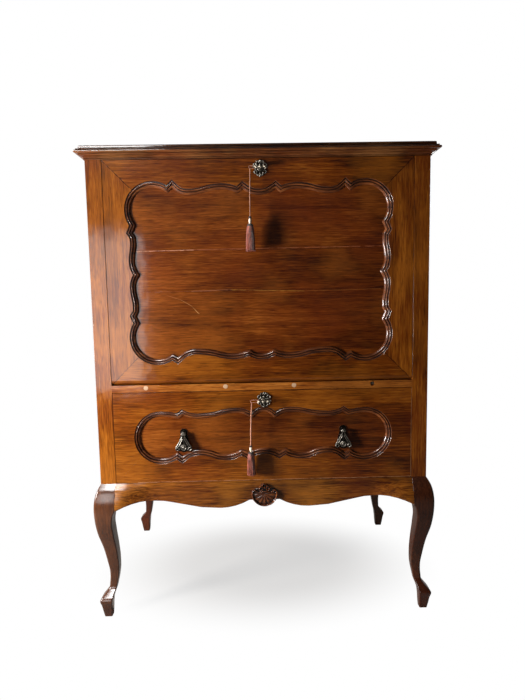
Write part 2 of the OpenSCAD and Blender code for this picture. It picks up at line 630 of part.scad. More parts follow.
// Ring sector about the pins: angles run up from the back
module sector(r0, r1, a0, a1) intersection() {
    difference() {
        circle(r = r1, $fn = 128);
        circle(r = r0, $fn = 128);
    }
    polygon(concat([[0, 0]], [for (a = [a0, (a0 + a1) / 2, a1]) 1.5 * r1 * [cos(a), sin(a)]]));
}
module fall_hardware() color(brass) both() {
    // pins
    translate([0, pivot_y, pivot_z]) rod_x(fall_x - pin_in, fall_x + run_gap + 8, pivot_r);
    // quadrant stay with its stop and its foot on the fall
    intersection() {
        translate([0, pivot_y, pivot_z]) sideways(stay_x - stay_t / 2, stay_x + stay_t / 2)
            sector(stay_r - 3, stay_r + 3, -stop_deg - 2, 88);
        box([0, front + fall_t, 0], [hx, back, case_z]);
    }
    translate([0, pivot_y, pivot_z]) sideways(stay_x - 4, stay_x + 4)
        sector(stay_r - 4, stay_r + 4, -stop_deg - 3.4, -stop_deg);
    box([stay_x - foot_w / 2, front + fall_t, pivot_z + stay_r - 4],
        [stay_x + foot_w / 2, front + fall_t + foot_t, pivot_z + stay_r + foot_h]);
}
// A slotted plate on the stile that the stay slides through and that stops it
module stay_keepers() color(brass) both() difference() {
    slot_x = stay_t / 2 + 0.4;
    box([stay_x - slot_x - 3.1, keeper_y, pivot_z + stay_r - keeper_low],
        [open_x, keeper_y + keeper_d, pivot_z + stay_r + keeper_up]);
    box([stay_x - slot_x, keeper_y - 1, pivot_z + stay_r - keeper_low + 3],
        [stay_x + slot_x, keeper_y + keeper_d + 1, pivot_z + stay_r + keeper_up - 3]);
}
module pivot_sockets() color(brass) both() translate([0, pivot_y, pivot_z]) difference() {
    rod_x(open_x, open_x + socket_len, socket_r);
    rod_x(open_x - 1, open_x + 9, pivot_r + 0.05);
}

// ---------- locks and keys ----------
lock_y = 11.3;           // the lock's front, behind the front face
fall_lock_low = 18;      // the locks' bodies below their keyholes
drawer_lock_low = 13.5;
lock_up = 14;
lock_w = 56;
bolt_w = 24;
bolt_y = [14, 20];       // the bolt's faces, behind the front face
module bolt_space(z0, z1) box([lock_x - bolt_w / 2 - 0.4, front + bolt_y[0] - fit, z0],
    [lock_x + bolt_w / 2 + 0.4, front + bolt_y[1] + fit, z1]);
// What a lock needs cut out of the rail that holds it
module lock_space(key_z, low, z1, t) {
    box([lock_x - lock_w / 2 - fit, front + lock_y - fit, key_z - low - fit],
        [lock_x + lock_w / 2 + fit, front + t + 1, key_z + lock_up + fit]);
    bolt_space(key_z, z1 + 1);
    translate([lock_x, 0, key_z]) {
        rod_y(front - 1, front + lock_y, 3.3);
        box([-1.6, front - 1, -9], [1.6, front + lock_y, 0]);
    }
}
module lock_case(key_z, low, t) color(brass) difference() {
    y0 = front + bolt_y[0] - 0.4;
    y1 = front + bolt_y[1] + 0.4;
    box([lock_x - lock_w / 2, front + lock_y, key_z - low],
        [lock_x + lock_w / 2, front + t - 0.2, key_z + lock_up]);
    box([lock_x - bolt_w / 2 - 0.4, y0, key_z + 8], [lock_x + bolt_w / 2 + 0.4, y1, key_z + lock_up + 1]);
    translate([lock_x, 0, key_z]) {
        rod_y(y0, y1, 9.2);
        rod_y(front + lock_y - 1, y0 + 0.4, 3.3);
    }
}
module bolt(key_z, z1) color(brass)
    box([lock_x - bolt_w / 2, front + bolt_y[0], key_z + 9.6],
        [lock_x + bolt_w / 2, front + bolt_y[1], z1 - fit]);
// A key with a flat trefoil bow lying level
bow_x = 12.5;
bow_r = 7.5;
bow_hole = 4.2;
bow_t = 3;
bow_y = front - key_reach + bow_r + 1;
module key(key_z) color(brass) translate([lock_x, 0, key_z]) {
    rod_y(bow_y + 3, front + 19.6, 2.4);
    rod_y(front - 7, front - 4.6, 4);
    box([0, front + 14.4, -1.2], [7.6, front + 19.6, 1.2]);
    translate([0, 0, -bow_t / 2]) linear_extrude(bow_t) difference() {
        union() {
            for (s = [-1, 1]) translate([s * bow_x, bow_y]) circle(r = bow_r, $fn = 48);
            translate([0, bow_y - 1]) circle(r = bow_r, $fn = 48);
            polygon([[-bow_x, bow_y - 3], [bow_x, bow_y - 3],
                [bow_x * 0.6, bow_y + 6], [-bow_x * 0.6, bow_y + 6]]);
        }
        for (s = [-1, 1]) translate([s * bow_x, bow_y]) circle(r = bow_hole, $fn = 48);
        translate([0, bow_y - 1.5]) circle(r = 3.4, $fn = 48);
    }
}
rim_x = lock_x - bow_x - (bow_r + bow_hole) / 2;      // middle of the bow's left rim
loop_r = 2.7;
loop_w = 1.3;
// The cord's loop through the bow, reaching out to the left
module cord_loop(key_z, reach) color(silk) translate([rim_x, 0, key_z])
    facing(bow_y - 0.8, bow_y + 0.8) difference() {
        long_hole(reach, loop_r + loop_w);
        long_hole(reach, loop_r);
    }
module long_hole(reach, r) {
    circle(r = r, $fn = 40);
    translate([-reach, 0]) circle(r = r, $fn = 40);
    translate([-reach, -r]) square([reach, 2 * r]);
}
fall_reach = 8;
drawer_reach = 16;

// Pierced cartouche with a keyhole
escutcheon_t = 2.2;
module escutcheon(key_z) color(bronze) translate([lock_x, 0, key_z])
    facing(front - escutcheon_t, front) difference() {
        escutcheon_rim();
        for (s = [-1, 1]) {
            translate([s * 13.5, 9]) circle(r = 2.4, $fn = 24);
            translate([s * 12.2, -9.2]) circle(r = 2.1, $fn = 24);
        }
        translate([0, 17]) circle(r = 1.9, $fn = 24);
        // keyhole
        circle(r = 3.2, $fn = 40);
        translate([-1.5, -8.5]) square([3, 8.5]);
    }
module escutcheon_rim() {
    circle(r = 12.5, $fn = 64);
    for (s = [-1, 1]) {
        translate([s * 12.5, 8]) circle(r = 6.8, $fn = 40);
        translate([s * 11.5, -8.5]) circle(r = 6, $fn = 40);
        translate([s * 6, 15.5]) circle(r = 5.2, $fn = 40);
        translate([s * 5.5, -15]) circle(r = 4.6, $fn = 40);
    }
    translate([0, 18.5]) circle(r = 4.4, $fn = 40);
    translate([0, -18]) circle(r = 4.6, $fn = 40);
}

// ---------- cords and tassels ----------
fall_cord_r = 1.3;
drawer_cord_r = 1.7;
cord_gap = 0.6;          // between a link and the cord's top
bound = 38;              // length of cord bound inside a tassel
// Each cord's points from its link: how far left, back and down; the last 38 mm are bound in its tassel
fall_route = [[0, 0, 0], [0.3, 0.2, 8], [0.5, 0.4, 16], [0.8, 0.6, 24], [1, 0.7, 32], [1.2, 0.8, 40],
    [1.4, 0.9, 48], [1.6, 1, 56], [1.8, 1, 64], [1.9, 1, 72], [2.1, 1, 80], [2.2, 1, 88], [2.3, 1, 96],
    [2.4, 1, 104], [2.4, 1, 112], [2.5, 1, 120], [2.5, 1, 128], [2.5, 1, 136], [2.5, 1, 144], [2.5, 1, 152],
    [2.5, 1, 160]];
drawer_route = [[0, 0, 0], [0.6, 0.2, 10], [1.2, 0.4, 20], [1.7, 0.6, 30], [2.2, 0.8, 40], [2.7, 0.9, 50],
    [3.1, 1, 60], [3.5, 1, 70], [3.8, 1, 80], [4.1, 1, 90], [4.3, 1, 100], [4.4, 1, 110], [4.5, 1, 120],
    [4.5, 1, 130], [4.5, 1, 140], [4.5, 1, 150], [4.5, 1, 158]];
function hung(route, key_z, reach) = [for (p = route)
    [rim_x - reach - p[0], bow_y + p[1], key_z - loop_r - loop_w - cord_gap - p[2]]];
fall_path = hung(fall_route, fall_key_z, fall_reach);
drawer_path = hung(drawer_route, drawer_key_z, drawer_reach);
module tube(path, r, sides = 8) {
    n = len(path);
    pts = [for (i = [0:n - 1])
        let (d = unit(path[min(n - 1, i + 1)] - path[max(0, i - 1)]),
            u = unit(cross(d, [0, 1, 0])), v = cross(u, d))
        for (j = [0:sides - 1]) path[i] + r * (u * cos(360 * j / sides) + v * sin(360 * j / sides))];
    polyhedron(points = pts, faces = concat([[for (j = [0:sides - 1]) j]],
        [[for (j = [sides - 1:-1:0]) (n - 1) * sides + j]],
        [for (i = [0:n - 2], j = [0:sides - 1])
            each let (a = i * sides + j, b = i * sides + (j + 1) % sides)
            [[a, b + sides, b], [a, a + sides, b + sides]]]));
}
module fall_cord() color(silk) tube(fall_path, fall_cord_r);
module drawer_cord() color(silk) tube(drawer_path, drawer_cord_r);
// A knot, a bead and a collar over a hanging skirt, bored for the cord of radius r that is bound in it.
// w is the skirt's radius and h the whole height.
module tassel(path, r, w, h) color(silk) {
    end = path[len(path) - 1];
    bore = r + fit;
    floor_h = h - bound - fit;
    translate([end[0], end[1], end[2] + bound - h]) rotate_extrude($fn = 48)
        polygon([[0, 0], [w, 0], [w * 0.98, h * 0.3], [w * 0.9, h * 0.55], [w * 0.74, h * 0.72],
            [w * 0.62, h * 0.78], [w * 0.6, h * 0.8], [w * 0.66, h * 0.82], [w * 0.56, h * 0.845],
            [w * 0.4, h * 0.85], [w * 0.42, h * 0.9], [w * 0.28, h * 0.945], [w * 0.34, h * 0.97],
            [w * 0.27, h], [bore, h], [bore, floor_h], [0, floor_h]]);
}
module fall_tassel() tassel(fall_path, fall_cord_r, 12.5, 92);
module drawer_tassel() tassel(drawer_path, drawer_cord_r, 12, 84);

// ---------- drawer ----------
front_border = [57, 44];         // from the drawer front's edges to its panel
front_in = [fall_x - front_border[0], front_h / 2 - front_border[1]];
front_mitre = 100;
sill = [10, 14];                 // how far the panel's window stands in from its lower and upper edges
module front_member(side) difference() {
    c = side == "left" ? 0 : mitre_gap;      // keeps the members apart at the mitres
    facing(front, front + front_t) rail_shape(fall_x - c, front_z0, front_z1, fall_x - front_mitre - c,
        front_z0 + front_mitre, front_z1 - front_mitre, side);
    facing(front - 1, front + panel_set) polygon(drawer_line);
    box([-front_in[0] - tongue, front + panel_set - eps, front_mid - front_in[1] - 0.2],
        [front_in[0] + tongue, front + panel_set + tongue_t, front_mid + front_in[1] + 3]);
    box([-front_in[0], front + panel_set, front_mid - front_in[1] + sill[0]],
        [front_in[0], front + front_t + 1, front_mid + front_in[1] - sill[1]]);
}
module drawer_front_frame() color(wood) difference() {
    union() {
        front_member("left");
        mirror([1, 0, 0]) front_member("left");
        front_member("top");
        front_member("bottom");
    }
    lock_space(drawer_key_z, drawer_lock_low, front_z1, front_t);
}
module drawer_panel() color(wood_light) {
    box([-front_in[0] - tongue + fit, front + panel_set, front_mid - front_in[1]],
        [front_in[0] + tongue - fit, front + panel_set + tongue_t - 0.1, front_mid + front_in[1] + 2.8]);
    box([-front_in[0] + fit, front + panel_set, front_mid - front_in[1] + sill[0] + fit],
        [front_in[0] - fit, front + front_t - 2, front_mid + front_in[1] - sill[1] - fit]);
}
module drawer_moulding() color(wood_light) moulding(drawer_line, front + panel_set - 0.05);
box_z0 = runner_z + fit;
box_z1 = rail_z0 - 22;
box_in = box_x - wall_t - fit;
module drawer_box() color(inside_wood) {
    y0 = front + front_t;
    y1 = y0 + box_d;
    z = box_z0 + 12;       // underside of the bottom
    both() box([-box_x, y0, box_z0], [-box_x + wall_t, y1, box_z1]);
    box([-box_in, y0, z], [box_in, y1 - 1, z + bottom_t]);
    box([-box_in, y1 - wall_t, z + bottom_t + fit], [box_in, y1 - 1, box_z1 - 8]);
}
// Pulls: a bronze drop that hangs from a pin between two ears of its plate
pull_z = 11;             // the pin above the middle of the drawer front
pull_y = front - 1;
pin_r = 1.3;
module pull_plate() color(bronze) translate([pull_x, 0, front_mid + pull_z]) {
    facing(front + panel_set - 2, front + panel_set) {
        translate([0, 2]) circle(r = 10, $fn = 48);
        polygon([[-8, 0], [8, 0], [17, -36], [-17, -36]]);
        translate([0, -36]) circle(r = 14, $fn = 48);
    }
    for (x = [-5.6, 3.3])
        box([x, pull_y - 3, -3.4], [x + 2.3, front + panel_set - 1, 3.4]);
    translate([0, pull_y, 0]) rod_x(-6, 6, pin_r);
}
// The drop is a pierced triangle with round corners and a ring in its foot
module pull() color(bronze) translate([pull_x, pull_y, front_mid + pull_z]) difference() {
    union() {
        rod_x(-3, 3, 3.2);
        facing(-2.2, 2.2) drop_shape();
    }
    rod_x(-4, 4, pin_r + 0.1);
}
module drop_shape() difference() {
    union() {
        polygon([[-2.5, -1], [2.5, -1], [2.5, -6], [5.5, -12], [23, -40], [14, -50],
            [-14, -50], [-23, -40], [-5.5, -12], [-2.5, -6]]);
        for (s = [-1, 1]) translate([s * 17, -43]) circle(r = 6.8, $fn = 40);
        translate([0, -42]) circle(r = 11, $fn = 48);
    }
    for (s = [-1, 1])
        polygon([[s * 1.5, -15], [s * 4.5, -15], [s * 15, -35], [s * 12, -39], [s * 1.5, -26]]);
    translate([0, -39.5]) circle(r = 5.4, $fn = 40);
}
module left_pull() mirror([1, 0, 0]) pull();
module right_pull() pull();

top_board();
cornice_front();
cornice_returns();
front_left_stile();
front_right_stile();
rear_stiles();
left_side_rails();
right_side_rails();
left_side_panel();
right_side_panel();
side_aprons();
front_apron();
apron_shell();
rear_rails();
back_boards();
mid_rail();
rail_screws();
rail_plugs();
dust_board();
desk_floor();
drawer_runners();
fall_stop_rail();
front_left_leg();
front_right_leg();
rear_legs();
pigeonhole_case();
pigeonhole_dividers();
inner_left_drawer();
inner_right_drawer();
stay_keepers();
pivot_sockets();
fall_left_stile();
fall_right_stile();
fall_top_rail();
fall_bottom_rail();
fall_boards();
fall_moulding();
writing_leather();
fall_hardware();
lock_case(fall_key_z, fall_lock_low, fall_t);  // fall_lock
escutcheon(fall_key_z);  // fall_escutcheon
bolt(fall_key_z, fall_z1);  // fall_bolt
key(fall_key_z);  // fall_key
cord_loop(fall_key_z, fall_reach);  // fall_cord_loop
fall_cord();
fall_tassel();
drawer_front_frame();
drawer_panel();
drawer_moulding();
drawer_box();
lock_case(drawer_key_z, drawer_lock_low, front_t);  // drawer_lock
escutcheon(drawer_key_z);  // drawer_escutcheon
bolt(drawer_key_z, front_z1);  // drawer_bolt
key(drawer_key_z);  // drawer_key
cord_loop(drawer_key_z, drawer_reach);  // drawer_cord_loop
drawer_cord();
drawer_tassel();
both() pull_plate();  // pull_plates
left_pull();
right_pull();
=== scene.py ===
"""Drop-front secretary desk in French-polished walnut, with carved mouldings, bronze furniture and silk
tassels.

Laid out as a Blender add-on and run as a script. Lengths in the shape functions are millimetres in the
part's own frame, with +Z up and the front towards -Y; meshes are in metres.
"""

import math

import bmesh
import bpy
import numpy as np
from mathutils import Matrix, Vector


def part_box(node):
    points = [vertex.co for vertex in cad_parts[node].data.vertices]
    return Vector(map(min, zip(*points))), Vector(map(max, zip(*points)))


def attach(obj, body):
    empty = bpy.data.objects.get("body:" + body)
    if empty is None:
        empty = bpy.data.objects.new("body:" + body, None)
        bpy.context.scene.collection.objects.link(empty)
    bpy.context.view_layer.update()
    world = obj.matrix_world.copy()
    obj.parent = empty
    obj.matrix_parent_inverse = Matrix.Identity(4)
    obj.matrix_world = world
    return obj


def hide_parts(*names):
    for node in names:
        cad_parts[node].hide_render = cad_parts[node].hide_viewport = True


bl_info = {
    "name": "Drop-front secretary desk",
    "version": (1, 0, 0),
    "blender": (4, 5, 0),
    "location": "3D View > Sidebar > Secretary",
    "description": "Dresses the packed secretary desk with its woodwork, metalwork and silk",
    "category": "Add Mesh",
}

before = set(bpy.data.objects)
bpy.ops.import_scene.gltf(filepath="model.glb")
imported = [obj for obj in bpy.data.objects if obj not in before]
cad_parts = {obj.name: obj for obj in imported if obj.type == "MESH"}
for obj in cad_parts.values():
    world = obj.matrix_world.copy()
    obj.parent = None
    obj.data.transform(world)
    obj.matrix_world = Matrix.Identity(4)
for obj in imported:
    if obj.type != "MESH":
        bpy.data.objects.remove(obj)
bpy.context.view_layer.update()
MM = 0.001


def corners(node):
    """Lowest and highest corner of a CAD node, in millimetres."""
    low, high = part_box(node)
    return np.array(low) / MM, np.array(high) / MM


STILE, STILE_TOP = corners("front_left_stile")
HALF_W = -STILE[0]                       # outer faces of the stiles
FRONT = STILE[1]                         # faces of the stiles, the fall and the drawer
CASE_Z = STILE_TOP[2]
BACK = corners("rear_stiles")[1][1]
FALL_LOW, FALL_HIGH = corners("fall_left_stile")
FALL_X = -FALL_LOW[0]
DRAWER_LOW, DRAWER_HIGH = corners("drawer_front_frame")
LOCK_X = 3.0                             # keyholes, a little right of the middle
FALL_KEY_Z = CASE_Z - 28
DRAWER_KEY_Z = corners("mid_rail")[0][2] - 27.8


# ---------------------------------------------------------------- sizes and colours

class SECRETARY_PG_woodwork(bpy.types.PropertyGroup):
    """Finish of the woodwork"""
    dark: bpy.props.StringProperty(
        name="Dark grain", description="Colour of the dark grain and open pores, as an sRGB hex value",
        default="#2a1105")
    ground: bpy.props.StringProperty(
        name="Ground", description="Colour between the grain lines, as an sRGB hex value", default="#6e3609")
    light: bpy.props.StringProperty(
        name="Light figure", description="Colour of the brightest figure, as an sRGB hex value",
        default="#9c5a18")
    polish: bpy.props.FloatProperty(
        name="Polish", description="Weight of the shellac coat", default=0.5, min=0.0, max=1.0,
        subtype="FACTOR")
    eased: bpy.props.FloatProperty(
        name="Eased edges", description="Width of the rounding on sawn edges", default=0.0009, min=0.0,
        max=0.003, unit="LENGTH")
    arc_step: bpy.props.FloatProperty(
        name="Arc step", description="Turn between two points of a carved outline",
        default=math.radians(2.5), min=0.01, max=0.3, unit="ROTATION")


class SECRETARY_PG_silk(bpy.types.PropertyGroup):
    """Cords and tassels"""
    strands: bpy.props.IntProperty(
        name="Strands", description="Number of silk strands on the outside of a tassel", default=72, min=12,
        max=200)
    rose: bpy.props.StringProperty(
        name="Tassel silk", description="Colour of the tassels, as an sRGB hex value", default="#a04a2e")
    tan: bpy.props.StringProperty(
        name="Upper cord", description="Colour of the cord on the fall's key, as an sRGB hex value",
        default="#b9805c")
    salmon: bpy.props.StringProperty(
        name="Lower cord", description="Colour of the cord on the drawer's key, as an sRGB hex value",
        default="#d99470")


class SECRETARY_PG_light(bpy.types.PropertyGroup):
    """Lamps and backdrop"""
    window: bpy.props.FloatProperty(
        name="Window", description="Power of the low lamp at the left", default=62.0, min=0.0, unit="POWER")
    wall: bpy.props.FloatProperty(
        name="Pale wall", description="Power of the soft panel that the polish mirrors at the left",
        default=24.0, min=0.0, unit="POWER")
    sky: bpy.props.FloatProperty(
        name="Skylight", description="Power of the high lamp in front", default=90.0, min=0.0, unit="POWER")
    back: bpy.props.FloatProperty(
        name="Back room", description="Power of the lamp behind the desk", default=60.0, min=0.0,
        unit="POWER")
    room: bpy.props.FloatProperty(
        name="Room", description="Strength of the even light from all sides", default=0.05, min=0.0)


def woodwork():
    return bpy.context.scene.secretary_woodwork


# ---------------------------------------------------------------- materials

def linear(value):
    """An sRGB hex value as linear red, green, blue and alpha."""
    channels = [int(value[i:i + 2], 16) / 255 for i in (1, 3, 5)]
    return [c / 12.92 if c <= 0.04045 else ((c + 0.055) / 1.055) ** 2.4 for c in channels] + [1.0]


def add(tree, kind, out=0, stops=(), **settings):
    """Adds a shader node and returns one of its outputs, named or numbered by out.

    A setting is one of the node's own, or an input by name (Base_Color) or number (_0) that takes a value,
    a hex colour or another node's output. stops are a colour ramp's places and hex colours, from low to
    high."""
    node = tree.nodes.new("ShaderNode" + kind)
    for key, value in settings.items():
        if key[0] != "_" and hasattr(node, key):
            setattr(node, key, value)
            continue
        socket = node.inputs[int(key[1:])] if key[0] == "_" else node.inputs[key.replace("_", " ")]
        if isinstance(value, bpy.types.NodeSocket):
            tree.links.new(value, socket)
        else:
            socket.default_value = linear(value) if isinstance(value, str) else value
    for i, (place, colour) in enumerate(stops):
        element = node.color_ramp.elements[i] if i < 2 else node.color_ramp.elements.new(place)
        element.position = place
        element.color = linear(colour)
    return node.outputs[out] if node.outputs else None


def start(name):
    """A new empty material, its node tree and its object coordinates."""
    material = bpy.data.materials.new(name)
    material.use_nodes = True
    material.node_tree.nodes.clear()
    return material, material.node_tree, add(material.node_tree, "TexCoord", out="Object")


def stretch(axis, length, across):
    """Scale of a pattern whose cells are length mm along the grain and across mm over it."""
    return tuple(1 / (MM * (length if name == axis else across)) for name in "XYZ")


def polished_walnut(name, axis, seed, tones=None, polish=1.0, marks=(), gloss=0.09):
    """French-polished walnut, sawn, scraped and rubbed with shellac: growth streaks and short dark pores
    run along the grain under clouds of lighter figure, and the thin coat gives soft broad highlights. Real
    pores are 0.3 mm wide; here they are drawn about six times coarser, so that they show from across a
    room.

    marks are scratches, mitres, open joints and painted highlights on the front: (x, z, x, z, width,
    colour, strength) in mm.
    gloss is the roughness of the coat."""
    finish = woodwork()
    dark, ground, light = tones or (finish.dark, finish.ground, finish.light)
    material, tree, at = start(name)
    total = 0.5
    # size along and across the grain in mm, share of the colour, detail, distortion
    for size, share, detail, warp in (
            ((260, 75), 0.8, 2.0, 0.6),      # clouds of figure
            ((420, 9), 0.55, 3.0, 0.3),      # growth streaks
            ((90, 3.0), 0.85, 3.0, 0.2),     # grain seen at arm's length
            ((30, 1.4), 0.7, 1.0, 0.0)):     # fine grain seen close
        place = add(tree, "Mapping", Vector=at, Location=(seed, seed * 1.7, seed * 0.6),
                    Scale=stretch(axis, *size))
        value = add(tree, "TexNoise", Vector=place, Scale=1.0, Detail=detail, Roughness=0.6,
                    Distortion=warp)
        off = add(tree, "Math", operation="SUBTRACT", _0=value, _1=0.5)
        total = add(tree, "Math", operation="MULTIPLY_ADD", _0=off, _1=share, _2=total)
    if axis == "X":
        # painted shade: long boards are darkened towards the right, away from the window lamp
        across = add(tree, "SeparateXYZ", out="X", Vector=at)
        painted_shade_right = add(tree, "MapRange", Value=across, From_Min=-0.45, From_Max=0.3, To_Min=-0.03, To_Max=0.12)
        total = add(tree, "Math", operation="SUBTRACT", _0=total, _1=painted_shade_right)
    colour = add(tree, "ValToRGB", Fac=total, stops=((0.15, dark), (0.5, ground), (0.85, light)))
    # redder heartwood and sun-bleached wood in broad patches
    warm = add(tree, "TexNoise", Vector=at, Scale=1 / (170 * MM), Detail=2.0)
    heart = add(tree, "MapRange", Value=warm, From_Min=0.45, From_Max=0.7, To_Max=0.4)
    sunny = add(tree, "MapRange", Value=warm, From_Min=0.5, From_Max=0.3, To_Max=0.45)
    # open pores in dashes
    place = add(tree, "Mapping", Vector=at, Location=(seed * 2.3, seed, seed), Scale=stretch(axis, 30, 1.8))
    pore_noise = add(tree, "TexNoise", Vector=place, Scale=1.0, Detail=2.0, Roughness=0.5)
    pore = add(tree, "MapRange", Value=pore_noise, From_Min=0.56, From_Max=0.68)
    stain = add(tree, "Math", operation="MULTIPLY", _0=pore, _1=0.55)
    layers = [(heart, "#64240a"), (sunny, light), (stain, dark)]
    wobble = add(tree, "TexNoise", Vector=at, Scale=1 / (18 * MM), Detail=3.0)
    for x0, z0, x1, z1, width, mark_colour, strength in marks:
        length, turn = math.hypot(x1 - x0, z1 - z0) * MM, math.atan2(z1 - z0, x1 - x0)
        line = add(tree, "Mapping", vector_type="TEXTURE", Vector=at, Rotation=(0, -turn, 0),
                   Location=((x0 + x1) / 2 * MM, 0, (z0 + z1) / 2 * MM))
        along = add(tree, "SeparateXYZ", out="X", Vector=line)
        over = add(tree, "SeparateXYZ", out="Z", Vector=line)
        bent = add(tree, "Math", operation="MULTIPLY_ADD", _0=wobble, _1=1.6 * width * MM, _2=over)
        near = add(tree, "Math", operation="COMPARE", _0=bent, _1=0.8 * width * MM, _2=width / 2 * MM)
        within = add(tree, "Math", operation="COMPARE", _0=along, _1=0.0, _2=length / 2)
        broken = add(tree, "MapRange", Value=wobble, From_Min=0.3, From_Max=0.55, To_Max=strength)
        both = add(tree, "Math", operation="MULTIPLY", _0=near, _1=within)
        layers.append((add(tree, "Math", operation="MULTIPLY", _0=both, _1=broken), mark_colour))
    for share, tone in layers:
        colour = add(tree, "Mix", out=2, data_type="RGBA", _0=share, _6=colour, _7=tone)
    hand = add(tree, "TexNoise", Vector=at, Scale=1 / (55 * MM), Detail=2.0)
    dull = add(tree, "MapRange", Value=hand, From_Min=0.3, From_Max=0.7, To_Min=0.32, To_Max=0.5)
    height = add(tree, "Math", operation="MULTIPLY_ADD", _0=pore, _1=-0.06, _2=hand)
    bump = add(tree, "Bump", Height=height, Strength=0.4, Distance=1.2 * MM)
    rubbed = add(tree, "Bump", Height=hand, Strength=0.3, Distance=1.2 * MM)
    shader = add(tree, "BsdfPrincipled", Base_Color=colour, Roughness=dull, Normal=bump, Coat_Normal=rubbed,
                 IOR=1.5, Specular_IOR_Level=0.02, Coat_Weight=finish.polish * polish, Coat_Roughness=gloss,
                 Coat_IOR=1.45)
    add(tree, "OutputMaterial", Surface=shader)
    return material


def carved_walnut(name, seed, tones=("#2a1208", "#5c2e12", "#8c5026")):
    """Carved and polished walnut moulding: brown and bright where the cloth has rubbed it, and darkened to
    nearly black in the quirks and hollows as painted shade, where old wax also dulls it (a point attribute)."""
    material, tree, at = start(name)
    wax_and_shade = add(tree, "Attribute", out="Fac", attribute_name="wax_and_shade")
    place = add(tree, "Mapping", Vector=at, Location=(seed, 0, seed), Scale=stretch("X", 60, 8))
    streak = add(tree, "TexNoise", Vector=place, Scale=1.0, Detail=4.0, Roughness=0.6)
    colour = add(tree, "ValToRGB", Fac=streak, stops=((0.3, tones[0]), (0.5, tones[1]), (0.75, tones[2])))
    # painted shade: the quirks and hollows are darkened to nearly black
    colour = add(tree, "Mix", out=2, data_type="RGBA", _0=wax_and_shade, _6=colour, _7="#0d0503")
    rough = add(tree, "MapRange", Value=wax_and_shade, To_Min=0.3, To_Max=0.6)
    bump = add(tree, "Bump", Height=streak, Strength=0.3, Distance=0.5 * MM)
    shader = add(tree, "BsdfPrincipled", Base_Color=colour, Roughness=rough, Normal=bump, IOR=1.5,
                 Specular_IOR_Level=0.1, Coat_Weight=0.5, Coat_Roughness=0.14)
    add(tree, "OutputMaterial", Surface=shader)
    return material


def waxed_pine(name, axis, seed, tones=("#6b4526", "#96683c", "#b98d5c")):
    """Planed pine under thin wax: wide soft growth bands, and nearly matt."""
    material, tree, at = start(name)
    place = add(tree, "Mapping", Vector=at, Location=(seed, seed, -seed), Scale=stretch(axis, 500, 14))
    band = add(tree, "TexNoise", Vector=place, Scale=1.0, Detail=3.0, Distortion=0.4)
    place = add(tree, "Mapping", Vector=at, Location=(-seed, seed, seed), Scale=stretch(axis, 30, 1.2))
    fibre = add(tree, "TexNoise", Vector=place, Scale=1.0, Detail=2.0)
    value = add(tree, "Math", operation="MULTIPLY_ADD", _0=fibre, _1=0.4, _2=band)
    colour = add(tree, "ValToRGB", Fac=value, stops=((0.45, tones[0]), (0.7, tones[1]), (0.95, tones[2])))
    bump = add(tree, "Bump", Height=fibre, Strength=0.3, Distance=0.4 * MM)
    shader = add(tree, "BsdfPrincipled", Base_Color=colour, Roughness=0.62, Normal=bump, IOR=1.5)
    add(tree, "OutputMaterial", Surface=shader)
    return material


def cast_bronze(name, dark="#0e0c0a", pale="#28221b"):
    """Sand-cast bronze: blackened by age in the hollows and rubbed pale on the raised edges, so that it
    shows small bright glints on a dark grainy skin. dark and pale are the skin's two colours."""
    material, tree, at = start(name)
    skin = add(tree, "TexNoise", Vector=at, Scale=1 / (1.1 * MM), Detail=3.0)
    raised = add(tree, "NewGeometry", out="Pointiness")
    rubbed = add(tree, "MapRange", Value=raised, From_Min=0.54, From_Max=0.7, To_Max=0.5)
    colour = add(tree, "ValToRGB", Fac=skin, stops=((0.3, dark), (0.75, pale)))
    colour = add(tree, "Mix", out=2, data_type="RGBA", _0=rubbed, _6=colour, _7="#8c8478")
    rough = add(tree, "MapRange", Value=skin, To_Min=0.16, To_Max=0.40)
    bump = add(tree, "Bump", Height=skin, Strength=0.15, Distance=0.3 * MM)
    shader = add(tree, "BsdfPrincipled", Base_Color=colour, Metallic=0.9, Roughness=rough, Normal=bump)
    add(tree, "OutputMaterial", Surface=shader)
    return material


def patterned(name, cells, detail, stops, rough, relief=0.0, **settings):
    """A material with one noise: it runs through a ramp of colours, takes the roughness from the first to the
    second value of rough, and raises the surface. cells are its sizes along and across Z, in mm."""
    material, tree, at = start(name)
    place = add(tree, "Mapping", Vector=at, Scale=stretch("Z", *cells))
    noise = add(tree, "TexNoise", Vector=place, Scale=1.0, Detail=detail)
    colour = add(tree, "ValToRGB", Fac=noise, stops=stops)
    dull = add(tree, "MapRange", Value=noise, To_Min=rough[0], To_Max=rough[1])
    bump = add(tree, "Bump", Height=noise, Strength=relief, Distance=0.4 * MM)
    shader = add(tree, "BsdfPrincipled", Base_Color=colour, Roughness=dull, Normal=bump, **settings)
    add(tree, "OutputMaterial", Surface=shader)
    return material


def filed_metal(name, bright, dull):
    """Metal filed smooth and then handled: brighter where it is rubbed, with dull patches a few millimetres
    across."""
    return patterned(name, (5, 5), 4.0, ((0.35, dull), (0.65, bright)), (0.45, 0.22), Metallic=1.0)


def spun_silk(name, colour, shade, thread=0.7):
    """Spun silk: fine threads, a little apart in colour, with a soft sheen along them. thread is its width
    in mm."""
    return patterned(name, (18, thread), 3.0, ((0.3, shade), (0.65, colour)), (0.6, 0.6), 0.6,
                     Sheen_Weight=0.15, Sheen_Roughness=0.4)


def turned_bone(name):
    """Turned and polished bone: warm ivory with faint brown veins along the axis."""
    return patterned(name, (12, 1.5), 3.0, ((0.3, "#c9a582"), (0.55, "#f0dcc4")), (0.35, 0.2), IOR=1.54)


